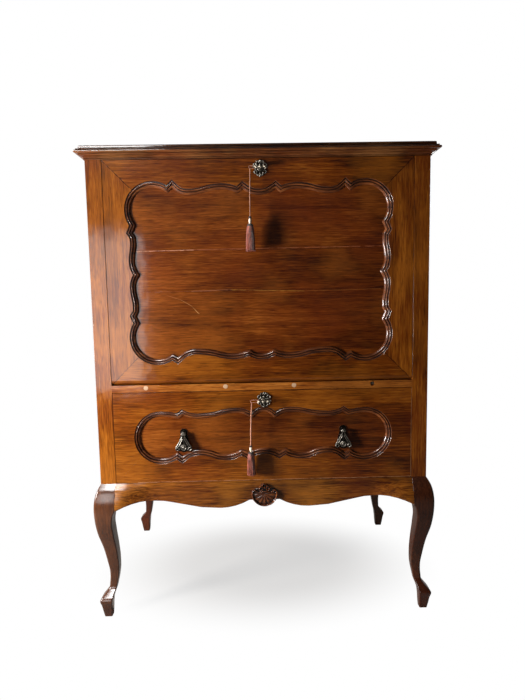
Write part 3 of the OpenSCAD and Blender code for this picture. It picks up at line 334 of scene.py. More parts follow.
def tooled_calf(name, low, high):
    """Calf writing leather: pebbled grain of about 1.3 mm, darkened in clouds, with two gilt lines tooled
    18 mm and 23 mm inside its border."""
    material, tree, at = start(name)
    pebble = add(tree, "TexVoronoi", Vector=at, Scale=1 / (1.3 * MM))
    cloud = add(tree, "TexNoise", Vector=at, Scale=1 / (110 * MM), Detail=3.0)
    colour = add(tree, "ValToRGB", Fac=cloud, stops=((0.3, "#3a1a0e"), (0.7, "#6a3218")))
    inward = None
    for axis in (0, 2):
        value = add(tree, "SeparateXYZ", out=axis, Vector=at)
        off = add(tree, "Math", operation="SUBTRACT", _0=value, _1=float(low[axis] + high[axis]) / 2 * MM)
        side = add(tree, "Math", operation="ABSOLUTE", _0=off)
        depth = add(tree, "Math", operation="SUBTRACT", _0=float(high[axis] - low[axis]) / 2 * MM, _1=side)
        inward = depth if inward is None else add(tree, "Math", operation="MINIMUM", _0=inward, _1=depth)
    for place, width in ((18, 1.1), (23, 0.5)):
        line = add(tree, "Math", operation="COMPARE", _0=inward, _1=place * MM, _2=width * MM)
        colour = add(tree, "Mix", out=2, data_type="RGBA", _0=line, _6=colour, _7="#a07a34")
    bump = add(tree, "Bump", Height=pebble, Strength=0.35, Distance=0.4 * MM)
    shader = add(tree, "BsdfPrincipled", Base_Color=colour, Roughness=0.45, Normal=bump, IOR=1.5)
    add(tree, "OutputMaterial", Surface=shader)
    return material


# ---------------------------------------------------------------- making pieces

def grid(rows, columns, wrap_rows=False, wrap_columns=False):
    """Quads between the points of a rows x columns grid, closed up along an axis where it wraps."""
    i = np.arange(rows if wrap_rows else rows - 1)[:, None]
    j = np.arange(columns if wrap_columns else columns - 1)[None, :]
    up, on = (i + 1) % rows, (j + 1) % columns
    quads = np.stack([i * columns + j, i * columns + on, up * columns + on, up * columns + j], -1)
    return quads.reshape(-1, 4)


def capped(rings):
    """A closed body from rings of points: quads between the rings and a flat face on the first and the
    last."""
    m, k = rings.shape[:2]
    return rings.reshape(-1, 3), [*grid(m, k, False, True), np.arange(k), np.arange((m - 1) * k, m * k)]


def lathe(x, y, radius, z, sides=28):
    """A profile turned about an upright axis at x, y: each of its points becomes a ring."""
    a = np.arange(sides) * 2 * np.pi / sides
    radius, z = np.asarray(radius, float)[:, None], np.asarray(z, float)[:, None]
    rings = np.stack([x + radius * np.cos(a), y + radius * np.sin(a), np.broadcast_to(z, (len(z), sides))],
                     -1)
    return capped(rings)


def tubes(paths, radius, sides=8, closed=False, across=(0, 1, 0)):
    """Round tubes along k paths of n points at once: each point gets a ring, square to the path there."""
    paths = np.asarray(paths, float)
    k, n = paths.shape[:2]
    ahead = np.roll(paths, -1, 1) - np.roll(paths, 1, 1) if closed else np.gradient(paths, axis=1)
    u = np.cross(ahead, across)
    u /= np.linalg.norm(u, axis=-1, keepdims=True)
    v = np.cross(u, ahead / np.linalg.norm(ahead, axis=-1, keepdims=True))
    a = (np.arange(sides) * 2 * np.pi / sides)[:, None]
    rings = paths[:, :, None, :] + np.broadcast_to(radius, (k, n))[:, :, None, None] * (
        np.cos(a) * u[:, :, None, :] + np.sin(a) * v[:, :, None, :])
    first = (np.arange(k) * n * sides)[:, None]
    faces = list((first[:, :, None] + grid(n, sides, closed, True)).reshape(-1, 4))
    if not closed:
        faces += [*(first + np.arange(sides)), *(first + (n - 1) * sides + np.arange(sides))]
    return rings.reshape(-1, 3), faces


def joined(*parts):
    """Several (points, faces) as one."""
    starts = np.cumsum([0] + [len(points) for points, _ in parts])
    faces = [f + s for (_, own), s in zip(parts, starts) for f in own]
    return np.vstack([points for points, _ in parts]), faces


def placed(name, data):
    """A new object in the scene, made of data."""
    made = bpy.data.objects.new(name, data)
    bpy.context.scene.collection.objects.link(made)
    return made


def dress(piece, material, body, replaces=()):
    """Gives a finished mesh its material, its body and the CAD nodes that it stands for."""
    piece.data.materials.clear()
    piece.data.materials.append(material)
    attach(piece, body)
    if replaces:
        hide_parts(*replaces)
    return piece


def shape(name, made, material, body, replaces=(), smooth=40.0, wax_and_shade=None):
    """A piece from (points in mm, faces), with its faces turned outwards."""
    points, faces = made
    mesh = bpy.data.meshes.new(name)
    mesh.from_pydata((points * MM).tolist(), [], [f.tolist() for f in faces])
    if wax_and_shade is not None:
        mesh.attributes.new("wax_and_shade", "FLOAT", "POINT").data.foreach_set("value", wax_and_shade.astype(np.float32).ravel())
    work = bmesh.new()
    work.from_mesh(mesh)
    bmesh.ops.recalc_face_normals(work, faces=work.faces)
    work.to_mesh(mesh)
    work.free()
    piece = placed(name, mesh)
    mesh.shade_smooth()
    mesh.set_sharp_from_angle(angle=math.radians(smooth))
    return dress(piece, material, body, replaces)


def eased(name, node, material, body="case", slot="polished_wood", width=None, segments=2, angle=25.0):
    """Copies a CAD node into a piece, merges its triangles into whole faces and rounds the sawn edges; the
    shading follows the larger faces, so that they stay flat."""
    work = bmesh.new()
    work.from_mesh(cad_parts[node].data)
    bmesh.ops.remove_doubles(work, verts=work.verts, dist=1e-6)
    bmesh.ops.dissolve_limit(work, angle_limit=math.radians(0.6), verts=work.verts, edges=work.edges)
    mesh = bpy.data.meshes.new(name)
    work.to_mesh(mesh)
    work.free()
    mesh.shade_smooth()
    piece = placed(name, mesh)
    rounding = piece.modifiers.new("eased edges", "BEVEL")
    rounding.width = woodwork().eased if width is None else width
    rounding.segments = segments
    rounding.limit_method = "ANGLE"
    rounding.angle_limit = math.radians(angle)
    shading = piece.modifiers.new("flat faces", "WEIGHTED_NORMAL")
    shading.weight = 90
    bpy.context.view_layer.update()
    piece.data = bpy.data.meshes.new_from_object(piece.evaluated_get(bpy.context.evaluated_depsgraph_get()))
    piece.modifiers.clear()
    bpy.data.meshes.remove(mesh)
    return dress(piece, material, body, (node,))


def paint(nodes, material):
    """Gives CAD nodes that are shown as they are their finish."""
    for node in nodes:
        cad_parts[node].data.materials.clear()
        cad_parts[node].data.materials.append(material)


# ---------------------------------------------------------------- carved outlines

# Right half of each outline from top to bottom, from its middle: [x, z, how far the line to the next point
# bows out]
FALL_LINE = [[0, 223.5, -2.3], [29, 232, 0], [45, 244, 0], [60, 231, 2], [102, 239, 1.6], [147, 232.5, -1.6],
             [190, 226, -1.4], [212, 231.5, 0], [232, 250, 0], [247, 236, 58], [350, 131, 0], [359, 111, 0],
             [350, 97, -1.2], [351, 68, 0.8], [355, 36, 2.6], [345, 0, 2.6], [355, -36, 0.8],
             [351, -68, -1.2], [350, -97, 0], [359, -111, 0], [350, -131, 58], [247, -236, 0],
             [231, -246, 0], [210, -228, -2], [183, -220, -1.5], [130, -226, 2.2], [76, -235, 2],
             [35, -227, 2.6], [0, -237, 0]]
DRAWER_LINE = [[0, 83, 3.6], [34, 69, 3.1], [77, 81, 1.9], [130, 73, -1.6], [183, 67, -0.9], [208, 71, 0],
               [226, 80, 0], [241, 69, 1.5], [286, 75, 22], [361, 0, 22], [286, -76, 3.1], [244, -64, 0],
               [229, -76, 0], [208, -60, -1.8], [182, -53, -1.8], [145, -60, 2.3], [105, -69, 3],
               [62, -57, 0], [44, -68, 0], [27, -58, -1.2], [0, -53, 0]]
MOULD_W = 16
PANEL_SET = 9          # depth of the panels behind the front
CARVING_IN = 0.15      # how far the carving stays inside its solid's outline
CARVING_OFF = 0.05     # and off the panel behind it


def arc(p, q, sag, step):
    """Points from p to q, without q, on the circle through both that bows out by sag: its radius is
    (half the chord squared + sag squared) / (2 sag)."""
    if abs(sag) < 0.05:
        return p[None]
    c = np.linalg.norm(q - p) / 2
    r = (c * c + sag * sag) / (2 * sag)
    left = np.array([p[1] - q[1], q[0] - p[0]]) / (2 * c)
    half = 2 * math.atan(sag / c)
    n = max(2, math.ceil(abs(2 * half) / step))
    a = half * (2 * np.arange(n) / n - 1)
    ahead = (q - p) / (2 * c)
    return (p + q) / 2 - left * (r - sag) + np.outer(np.cos(a), left * r) + np.outer(np.sin(a), ahead * r)


def closed_outline(rows, low, high, design):
    """Both halves of an outline, clockwise from the top middle, scaled from its design size to the fall's
    width and the heights low to high."""
    rows, step = np.array(rows, float), woodwork().arc_step
    at = rows[:, :2] * np.array([FALL_X, (high - low) / 2]) / np.array(design)
    half = np.vstack([arc(p, q, sag, step) for p, q, sag in zip(at, at[1:], rows[:, 2])] + [at[-1:]])
    return np.vstack([half, half[-2:0:-1] * [-1, 1]]) + [0, (low + high) / 2]


def inset(line, width):
    """The outline moved inwards by width: each corner moves along the mitre of its two sides."""
    def normal(a, b):
        d = (b - a) / np.linalg.norm(b - a, axis=1)[:, None]
        return np.stack([-d[:, 1], d[:, 0]], 1)

    n0, n1 = normal(np.roll(line, 1, 0), line), normal(line, np.roll(line, -1, 0))
    return line - (n0 + n1) / (1 + (n0 * n1).sum(1))[:, None] * width


def moulding_rows():
    """The moulding's section as rows of share of the width, depth and darkening: a quirk, a half-round bead,
    a deeper quirk and a broad cove down to the panel. The darkening is painted shade, heaviest in the
    quirks, less on the bead's flanks and at the cove's foot, and old wax also dulls the polish there."""
    t = np.linspace(0.08, 0.92, 9)
    bead = np.stack([0.20 + 0.26 * t, 3.4 - 2.0 * np.sin(np.pi * t) + 0.6 * t,
                     0.45 - 0.45 * np.sin(np.pi * t)], 1)
    u = np.linspace(0.0, 1.0, 8)
    cove = np.stack([0.68 + 0.32 * u, 4.4 + 4.4 * u - 0.9 * np.sin(np.pi * u), 0.25 * u ** 4], 1)
    return np.vstack([[[0, 0.1, 0], [0.05, 0.5, 0.1], [0.09, 3.0, 0.9], [0.15, 3.4, 0.9]], bead,
                      [[0.50, 4.6, 0.7], [0.54, 5.8, 1.0], [0.58, 5.6, 0.9], [0.63, 4.4, 0.1]], cove])


def carve(name, line, node, body, material):
    """Carries the moulding's section round an outline: one ring of points for each row, and two for its
    back."""
    rows = np.vstack([moulding_rows(), [[1.0, PANEL_SET - CARVING_OFF, 1],
                                        [0.0, PANEL_SET - CARVING_OFF, 1]]])
    edge = inset(line, CARVING_IN)
    flat = np.stack([inset(edge, share * MOULD_W) for share in rows[:, 0]])
    rings = np.insert(flat, 1, FRONT, axis=2)
    rings[:, :, 1] += rows[:, 1:2]
    wax_and_shade = np.broadcast_to(rows[:, 2:], rings.shape[:2])
    made = rings.reshape(-1, 3), list(grid(len(rows), len(line), True, True))
    return shape(name, made, material, body, (node,), 50.0, wax_and_shade)


SHELL_R = 38.0


def ridge(x, z, points, half_width, height):
    """A half-round ridge along a line of points: height times the root of 1 - (distance / half width)
    squared."""
    points = np.array(points, float)
    t = np.linspace(0, len(points) - 1, 12 * len(points))
    line = np.stack([np.interp(t, np.arange(len(points)), points[:, i]) for i in (0, 1)], 1)
    far = np.min(np.hypot(x[..., None] - line[:, 0], z[..., None] - line[:, 1]), axis=-1)
    return height * np.sqrt(np.maximum(0, 1 - (far / half_width) ** 2))


def shell_relief(x, z):
    """Height and darkening of the carved shell at x, z from its hinge: a ribbed bowl inside a raised rim, a
    lip above it, a rosette of curled petals over its middle and a leaf to each side. The darkening is
    painted shade, deeper where the carving is lower and between the bowl's ribs, and old wax dulls it there."""
    r, a = np.hypot(x, z), np.arctan2(x, -z)
    ribs = 0.5 + 0.5 * np.cos(a * 13)
    bowl = 2.0 + 4.6 * np.sqrt(np.maximum(0, 1 - (r / 32) ** 2)) + 1.1 * ribs * np.clip(r / 20, 0, 1)
    height = np.where(z < 4, bowl, 1.6)
    turn = np.radians(np.arange(-95, 96, 5))
    shapes = [([[34.8 * math.sin(b), -34.8 * math.cos(b)] for b in turn], 3.0, 8.4),
              ([[-34, 3], [-22, 2], [-10, 5], [0, 7], [10, 5], [22, 2], [34, 3]], 2.2, 6.0),
              ([[0, 19], [0, 20]], 3.6, 8.6)]
    for s in (-1, 1):
        shapes += [([[s * 2, 29], [s * 6, 26], [s * 7, 22], [s * 5, 20]], 1.8, 7.8),
                   ([[s * 8, 24], [s * 13, 21], [s * 14.5, 16], [s * 12, 11], [s * 8, 10], [s * 6.5, 13]],
                    2.1, 7.4),
                   ([[s * 35, 5], [s * 34, 9], [s * 29, 11], [s * 24, 8.5], [s * 20, 6]], 2.2, 6.4)]
    for points, half_width, tall in shapes:
        height = np.maximum(height, ridge(x, z, points, half_width, tall))
    # painted shade: the lower the carving, the darker, and darker still between the bowl's ribs
    wax_and_shade = np.clip(1.1 - height / 6.5, 0, 1)
    return height, np.where((z < 4) & (r < 32), np.maximum(wax_and_shade, 0.7 * (1 - ribs)), wax_and_shade)


# ---------------------------------------------------------------- legs

# Down a leg: height, outer face, inner face, radius of the outer edge; faces are measured in from the
# stile's corner
LEG_ROWS = np.array([[391, 0, 42.5, 1], [372, -11, 42.5, 5], [350, -17.5, 42.5, 8], [334, -19.8, 42, 9],
                     [318, -20.5, 39, 9], [304, -20.2, 33, 9], [285, -19, 29.5, 9], [250, -14, 31, 8],
                     [205, -3, 35, 7], [160, 5, 37.5, 6], [125, 9.5, 36.5, 6], [95, 8.5, 31.5, 6],
                     [77, 5, 27.5, 6], [66, -4.5, 23.5, 6], [56, -12.8, 20.3, 5], [49.5, -15.5, 19, 3.5],
                     [47, -15.4, 18.8, 3.5], [36, -12.6, 17.8, 4], [16, -9.2, 16.8, 4],
                     [0, -6, 15.5, 3]], float)


def leg_rings(steps=9):
    """Cubic curves run through the rows, with each row's slope that of the parabola through its neighbours;
    at each height the section is a square with rounded corners, a broad one on the knee's outer edge."""
    z = LEG_ROWS[:, :1]
    slope = np.gradient(LEG_ROWS, z[:, 0], axis=0)
    t = (np.arange(steps) / steps)[None, :, None]
    fall = np.diff(z, axis=0)[:, None]
    upper, lower = LEG_ROWS[:-1, None], LEG_ROWS[1:, None]
    rows = ((2 * t ** 3 - 3 * t ** 2 + 1) * upper + (t ** 3 - 2 * t ** 2 + t) * fall * slope[:-1, None]
            + (3 * t ** 2 - 2 * t ** 3) * lower + (t ** 3 - t ** 2) * fall * slope[1:, None])
    rows = np.vstack([rows.reshape(-1, 4), LEG_ROWS[-1:]])
    z, outer, inner, r = rows.T[:, :, None]
    inner = np.minimum(inner, LEG_ROWS[0, 2])
    s = np.minimum(3.2, r)
    turn = np.radians(np.linspace(0, 90, 9))[None]
    parts = []
    for x, y, radius, first in ((outer + r, outer + r, r, 180), (inner - s, outer + s, s, 270),
                                (inner - s, inner - s, s, 0), (outer + s, inner - s, s, 90)):
        a = turn + math.radians(first)
        parts.append(np.stack([x + radius * np.cos(a), y + radius * np.sin(a), z + 0 * a], -1))
    return np.concatenate(parts, 1)


def leg(name, mirror_x, mirror_y, node, material):
    rings = leg_rings() - [HALF_W, 0, 0]
    rings[..., 0] *= -1 if mirror_x else 1
    rings[..., 1] = BACK - rings[..., 1] if mirror_y else FRONT + rings[..., 1]
    return shape(name, capped(rings), material, "case", (node,), 48.0)


def apron(name, node, points, along, face, material, thick=22.0, flow=120.0):
    """An apron between two legs, lying along axis 0 or 1 with its face at face. Its lower edge is the CAD
    apron's, and over the last flow mm it swells out to the legs' knees by half of 1 + cos, so that leg and
    apron are one curve."""
    at = points[:, along].round(2)
    order = np.lexsort((points[:, 2], at))
    ends, first = np.unique(at[order], return_index=True)
    s = np.unique(np.concatenate([ends, np.linspace(ends[0] - 3, ends[-1] + 3, 200)]))
    low, top = np.interp(s, ends, points[order[first], 2]), points[:, 2].max()
    swell = 0.5 + 0.5 * np.cos(np.pi * np.clip(np.minimum(s - ends[0], ends[-1] - s) / flow, 0, 1))
    v, a = np.linspace(0, 1, 20)[:, None], np.radians(np.linspace(15, 90, 6))[:, None]
    edge = 3.0
    z = np.vstack([top - v * (top - low - edge), low + edge * (1 - np.sin(a))])
    knee = np.interp(z, LEG_ROWS[::-1, 0], -LEG_ROWS[::-1, 1])
    out = knee * swell - np.vstack([0 * v + 0 * s, edge * (1 - np.cos(a)) + 0 * s])
    z = np.vstack([z, low, top + 0 * s]).T
    out = np.vstack([out, -thick + 0 * s, -thick + 0 * s]).T
    side = math.copysign(1, face)
    rings = np.empty(z.shape + (3,))
    rings[..., along], rings[..., 1 - along], rings[..., 2] = s[:, None], face + side * out, z
    return shape(name, capped(rings), material, "case", (node,), 40.0)


# ---------------------------------------------------------------- cords

# Each cord's points from its link, in mm: how far left, back and down; the last 38 mm are bound in its
# tassel
FALL_ROUTE = [
    [0, 0, 0], [0.3, 0.2, 8], [0.5, 0.4, 16], [0.8, 0.6, 24], [1, 0.7, 32], [1.2, 0.8, 40], [1.4, 0.9, 48],
    [1.6, 1, 56], [1.8, 1, 64], [1.9, 1, 72], [2.1, 1, 80], [2.2, 1, 88], [2.3, 1, 96], [2.4, 1, 104],
    [2.4, 1, 112], [2.5, 1, 120], [2.5, 1, 128], [2.5, 1, 136], [2.5, 1, 144], [2.5, 1, 152], [2.5, 1, 160]]
DRAWER_ROUTE = [
    [0, 0, 0], [0.6, 0.2, 10], [1.2, 0.4, 20], [1.7, 0.6, 30], [2.2, 0.8, 40], [2.7, 0.9, 50], [3.1, 1, 60],
    [3.5, 1, 70], [3.8, 1, 80], [4.1, 1, 90], [4.3, 1, 100], [4.4, 1, 110], [4.5, 1, 120], [4.5, 1, 130],
    [4.5, 1, 140], [4.5, 1, 150], [4.5, 1, 158]]
RIM_X = -15.35         # middle of a key's left rim, where its link hangs
BOW_Y = -300.0         # middle of a key's bow
LINK_R = 3.35          # radius of a link's bends
CORD_DROP = 4.6        # from a link's middle down to the cord's top
LINK_CORD_R = 0.75     # radius of the cord that a link is made of
LINK_PITCH = 4.0       # one turn of its plies
PLY_OUT, PLY_R = 0.36, 0.68   # a ply's distance from the middle and its radius, as shares of the cord's
STRAND_R = 0.62        # radius of a tassel's strands
HEAD = 0.26            # share of a tassel's height that its head takes


def plied(path, radius, pitch, closed=False):
    """Two plies wound round a path: each circles it once for every pitch."""
    path = np.vstack([path, path[:1]]) if closed else path
    run = np.concatenate([[0], np.cumsum(np.linalg.norm(np.diff(path, axis=0), axis=1))])
    turns = max(1, round(run[-1] / pitch)) if closed else run[-1] / pitch
    s = np.linspace(0, 1, int(turns * 12) + 1)
    line = np.stack([np.interp(s * run[-1], run, path[:, i]) for i in range(3)], 1)
    ahead = np.gradient(line, axis=0)
    u = np.cross(ahead, [0, 1, 0])
    u /= np.linalg.norm(u, axis=1, keepdims=True)
    v = np.array([[0, 1.0, 0]])
    a = 2 * np.pi * turns * s[None, :, None] + np.array([0, np.pi])[:, None, None]
    plies = line + radius * PLY_OUT * (np.cos(a) * u + np.sin(a) * v)
    return tubes(plies[:, :-1] if closed else plies, radius * PLY_R, 8, closed)


def skirt(x, y, top, height, width, strands, rng):
    """Silk strands of a tassel in three rings round a core: each flares from the collar and sways a
    little."""
    parts = [lathe(x, y, np.array([0.45, 0.55, 0.68, 0.74]) * width,
                   top - np.array([0, 0.06, 0.6, 0.92]) * height)]
    s = np.linspace(0, 1, 12)[None]
    for layer, share in ((0, 1.0), (1, 0.8), (2, 0.6)):
        count = int(strands * share)
        angle = (np.arange(count)[:, None] + rng.uniform(-0.3, 0.3, (count, 1))) / count * 2 * np.pi
        sway = angle + 0.2 * np.sin(4 * s + rng.uniform(0, 6.28, (count, 1))) * s
        flare = np.interp(s, [0, 0.03, 0.15, 0.6, 1], [0.56, 0.68, 0.76, 0.88, 0.96])
        r = width * flare * (1 - 0.07 * layer) * (1 + rng.uniform(-0.03, 0.015, (count, 1)) * s)
        drop = s * height * (1 - rng.uniform(0, 0.06, (count, 1)))
        paths = np.stack([x + r * np.cos(sway), y + r * np.sin(sway), top - drop], -1)
        parts.append(tubes(paths, STRAND_R, 6))
    return joined(*parts)


def bindings(x, y, rows):
    """Rings of thread round an upright axis, from rows of radius, height and the thread's own radius."""
    a = np.arange(28) * 2 * np.pi / 28
    rows = np.array(rows, float)
    paths = np.stack([x + rows[:, :1] * np.cos(a), y + rows[:, :1] * np.sin(a), rows[:, 1:2] + 0 * a], -1)
    return tubes(paths, rows[:, 2:3], 8, True, (0, 0, 1))


# ---------------------------------------------------------------- metal relief

def raised(strokes, y):
    """Rounded strokes laid on a plate: each is [x, z, radius, first turn, last turn, thickness], an arc in
    degrees."""
    parts = []
    for x, z, r, first, last, thick in strokes:
        a = np.radians(np.linspace(first, last, 21))
        path = np.stack([x + r * np.cos(a), np.full(21, y), z + r * np.sin(a)], 1)
        full = abs(last - first) >= 360
        taper = thick * (1 if full else np.interp(np.arange(21), [0, 3, 17, 20], [0.35, 1, 1, 0.35]))
        parts.append(tubes(path[None, :-1] if full else path[None], thick if full else taper, 8, full))
    return joined(*parts)


def domes(rows, y, rings=7, sides=20):
    """Round bosses on a plate: each row is [x, z, radius, height], and the height falls as the root of 1 -
    r^2."""
    parts = []
    t = np.linspace(0, 1, rings)[::-1, None]
    a = (np.arange(sides) * 2 * np.pi / sides)[None]
    for x, z, r, h in rows:
        t2 = np.maximum(t, 0.02)
        rise = h * np.sqrt(np.maximum(0, 1 - t2 ** 2))
        parts.append(capped(np.stack([x + r * t2 * np.cos(a), y - rise + 0 * a, z + r * t2 * np.sin(a)], -1)))
    return joined(*parts)


# Raised work on an escutcheon, from its keyhole: scrolls round the pierced lobes, a rim round the keyhole,
# shells
ESCUTCHEON = [[0, 0, 6.2, 0, 360, 1.2]] + [stroke for s in (-1, 1) for stroke in (
    [s * 13.2, 8.8, 4.4, 0, 360, 1.2], [s * 12, -9, 4.0, 0, 360, 1.1],
    [s * 6.3, 15.6, 3.2, 90 - s * 130, 90 + s * 110, 1.1],
    [s * 5.4, -15, 3.0, -90 - s * 110, -90 + s * 130, 1.0],
    [s * 9.5, 0, 4.6, 90 + s * 20, 90 - s * 200, 1.0])]
ESCUTCHEON_BOSSES = [[0, 18.8, 3.2, 2.2], [0, -18.6, 3.0, 2.0], [-7.5, 3.5, 2.2, 1.6],
                     [7.5, 3.5, 2.2, 1.6], [0, 9.6, 2.6, 1.8], [0, -12.4, 2.2, 1.6]]
ESCUTCHEON_FACE = 2.3  # how far the scrolls' middles stand before the front
BOSS_FACE = 2.0        # and the bosses' feet
# Raised work on a pull, from its pin
PULL = [[0, -2.5, 5.0, -50, 230, 1.7], [0, -39.5, 7.0, 0, 360, 1.7]] + [
    [s * 17.0, -43.5, 4.4, 90 + s * 160, 90 - s * 190, 1.5] for s in (-1, 1)]
PULL_BARS = [[[3.0, -8.5], [21.5, -39.0]], [[2.6, -15.5], [14.0, -36.5]]]
PULL_BOSSES = [[0, -39.5, 4.6, 3.2], [0, -3, 3.2, 3.0]]
PULL_FACE = 3.2        # how far the scrolls' middles stand before the front
PULL_PIN = 3.2         # from a pull's top down to its pin
PULL_SINK = 0.8        # how far its bosses are sunk behind the scrolls' middles


def bars(rows, side, x0, y, z0, thick=1.35):
    """Straight rounded bars between pairs of points of a pull, mirrored by side."""
    ends = np.array(rows, float)
    t = np.linspace(0, 1, 9)[None, :, None]
    line = ends[:, :1] * (1 - t) + ends[:, 1:] * t
    paths = np.stack([x0 + side * line[..., 0], np.full(line.shape[:2], y), z0 + line[..., 1]], -1)
    return tubes(paths, thick, 8)


# ---------------------------------------------------------------- steps

def seen_plainly(tree, where):
    """1 for rays straight from the camera, and for mirrored and passed-on rays where where is 1."""
    direct = add(tree, "LightPath", out="Is Camera Ray")
    mirrored = add(tree, "LightPath", out="Is Glossy Ray")
    passed = add(tree, "LightPath", out="Is Transmission Ray")
    either = add(tree, "Math", operation="MAXIMUM", _0=mirrored, _1=passed)
    there = add(tree, "Math", operation="MULTIPLY", _0=either, _1=where)
    return add(tree, "Math", operation="MAXIMUM", _0=direct, _1=there)


class SECRETARY_OT_stage(bpy.types.Operator):
    """Pale floor, white surroundings, lamps and camera"""
    bl_idname = "secretary.stage"
    bl_label = "Stage"

    def execute(self, context):
        scene = context.scene
        light = scene.secretary_light
        # painted floor: keeps the shadow under the desk and turns to plain white round it; behind the desk
        # it is mirrored as white too. Under the desk it also has a painted shadow: an oval of less white and
        # a darker grey, round the real shadow that shows through its matt share
        wall_y, half_wide, half_deep = 0.8, 0.56, 0.38
        material, tree, at = start("pale_floor")
        behind = add(tree, "Math", operation="GREATER_THAN",
                     _0=add(tree, "SeparateXYZ", out="Y", Vector=at), _1=wall_y)
        seen = seen_plainly(tree, behind)
        oval = add(tree, "Mapping", Vector=at, Scale=(1 / half_wide, 1 / half_deep, 1.0))
        away = add(tree, "VectorMath", out="Value", operation="LENGTH", _0=oval)
        # painted shadow: the oval is greyer towards its middle under the desk, whatever the lamps do
        painted_shadow_oval = add(tree, "MapRange", interpolation_type="SMOOTHSTEP", Value=away, From_Min=0.36,
                   From_Max=1.08, To_Min=0.617, To_Max=1.0)
        share = add(tree, "Math", operation="MULTIPLY", _0=seen, _1=painted_shadow_oval)
        painted_shadow_grey = add(tree, "Mix", out=2, data_type="RGBA", _0=painted_shadow_oval, _6="#808080", _7="#a8a29c")
        matt = add(tree, "BsdfDiffuse", Color=painted_shadow_grey)
        white = add(tree, "Emission", Strength=1.0)
        both = add(tree, "MixShader", _0=share, _1=matt, _2=white)
        add(tree, "OutputMaterial", Surface=both)
        mesh = bpy.data.meshes.new("floor")
        edge, under = 12.0, -0.0005
        square = [(x * edge, y * edge, under) for x, y in ((-1, -1), (1, -1), (1, 1), (-1, 1))]
        mesh.from_pydata(square, [], [(0, 1, 2, 3)])
        mesh.materials.append(material)
        floor = placed("floor", mesh)
        # room: dim and even in front, white behind the desk where it is seen or mirrored
        world = bpy.data.worlds.new("room")
        world.use_nodes = True
        tree = world.node_tree
        tree.nodes.clear()
        depth = add(tree, "SeparateXYZ", out="Y", Vector=add(tree, "TexCoord", out="Generated"))
        behind = add(tree, "Math", operation="GREATER_THAN", _0=depth, _1=0.0)
        dim = add(tree, "Background", Color="#fff6ea", Strength=light.room)
        white = add(tree, "Background", Color=(1, 1, 1, 1), Strength=1.0)
        both = add(tree, "MixShader", _0=seen_plainly(tree, behind), _1=dim, _2=white)
        add(tree, "OutputWorld", Surface=both)
        scene.world = world
        # lamps: name, place, size in metres, power, aim
        for name, place, size, power, aim in (
                ("window", (-1.45, -0.84, 0.72), (0.3, 0.5), light.window, (0.0, -0.28, 0.85)),
                ("pale_wall", (-1.21, -3.1, 0.78), (0.62, 1.25), light.wall, (-0.4, -0.28, 0.8)),
                ("skylight", (-0.9, -2.1, 2.25), (0.6, 0.9), light.sky, (-0.3, -0.28, 0.4)),
                ("back_room", (2.1, 2.2, 1.7), (1.4, 1.4), light.back, (0.2, 0.1, 0.6))):
            lamp = bpy.data.lights.new(name, "AREA")
            lamp.shape = "RECTANGLE"
            lamp.size, lamp.size_y = size
            lamp.energy = power
            stand = placed(name, lamp)
            stand.location = place
            stand.rotation_euler = (Vector(aim) - Vector(place)).to_track_quat("-Z", "Y").to_euler()
            stand.visible_camera = False
            stand.visible_diffuse = name not in ("pale_wall", "skylight")
        # camera: 1.47 m in front of the desk at chest height, 27.6 mm lens, turned by yaw, pitch and roll
        camera = bpy.data.cameras.new("camera")
        camera.sensor_width = 36.0
        camera.lens = 27.63
        camera.clip_start = 0.05
        eye = placed("camera", camera)
        eye.matrix_world = Matrix.Translation((-0.02395, -1.47157 + FRONT * MM, 0.91776))
        for degrees, axis in ((-0.983, "Z"), (90 - 6.062, "X"), (-1.033, "Z")):
            eye.matrix_world @= Matrix.Rotation(math.radians(degrees), 4, axis)
        scene.camera = eye
        scene.view_settings.view_transform = "Standard"
        return {"FINISHED"}


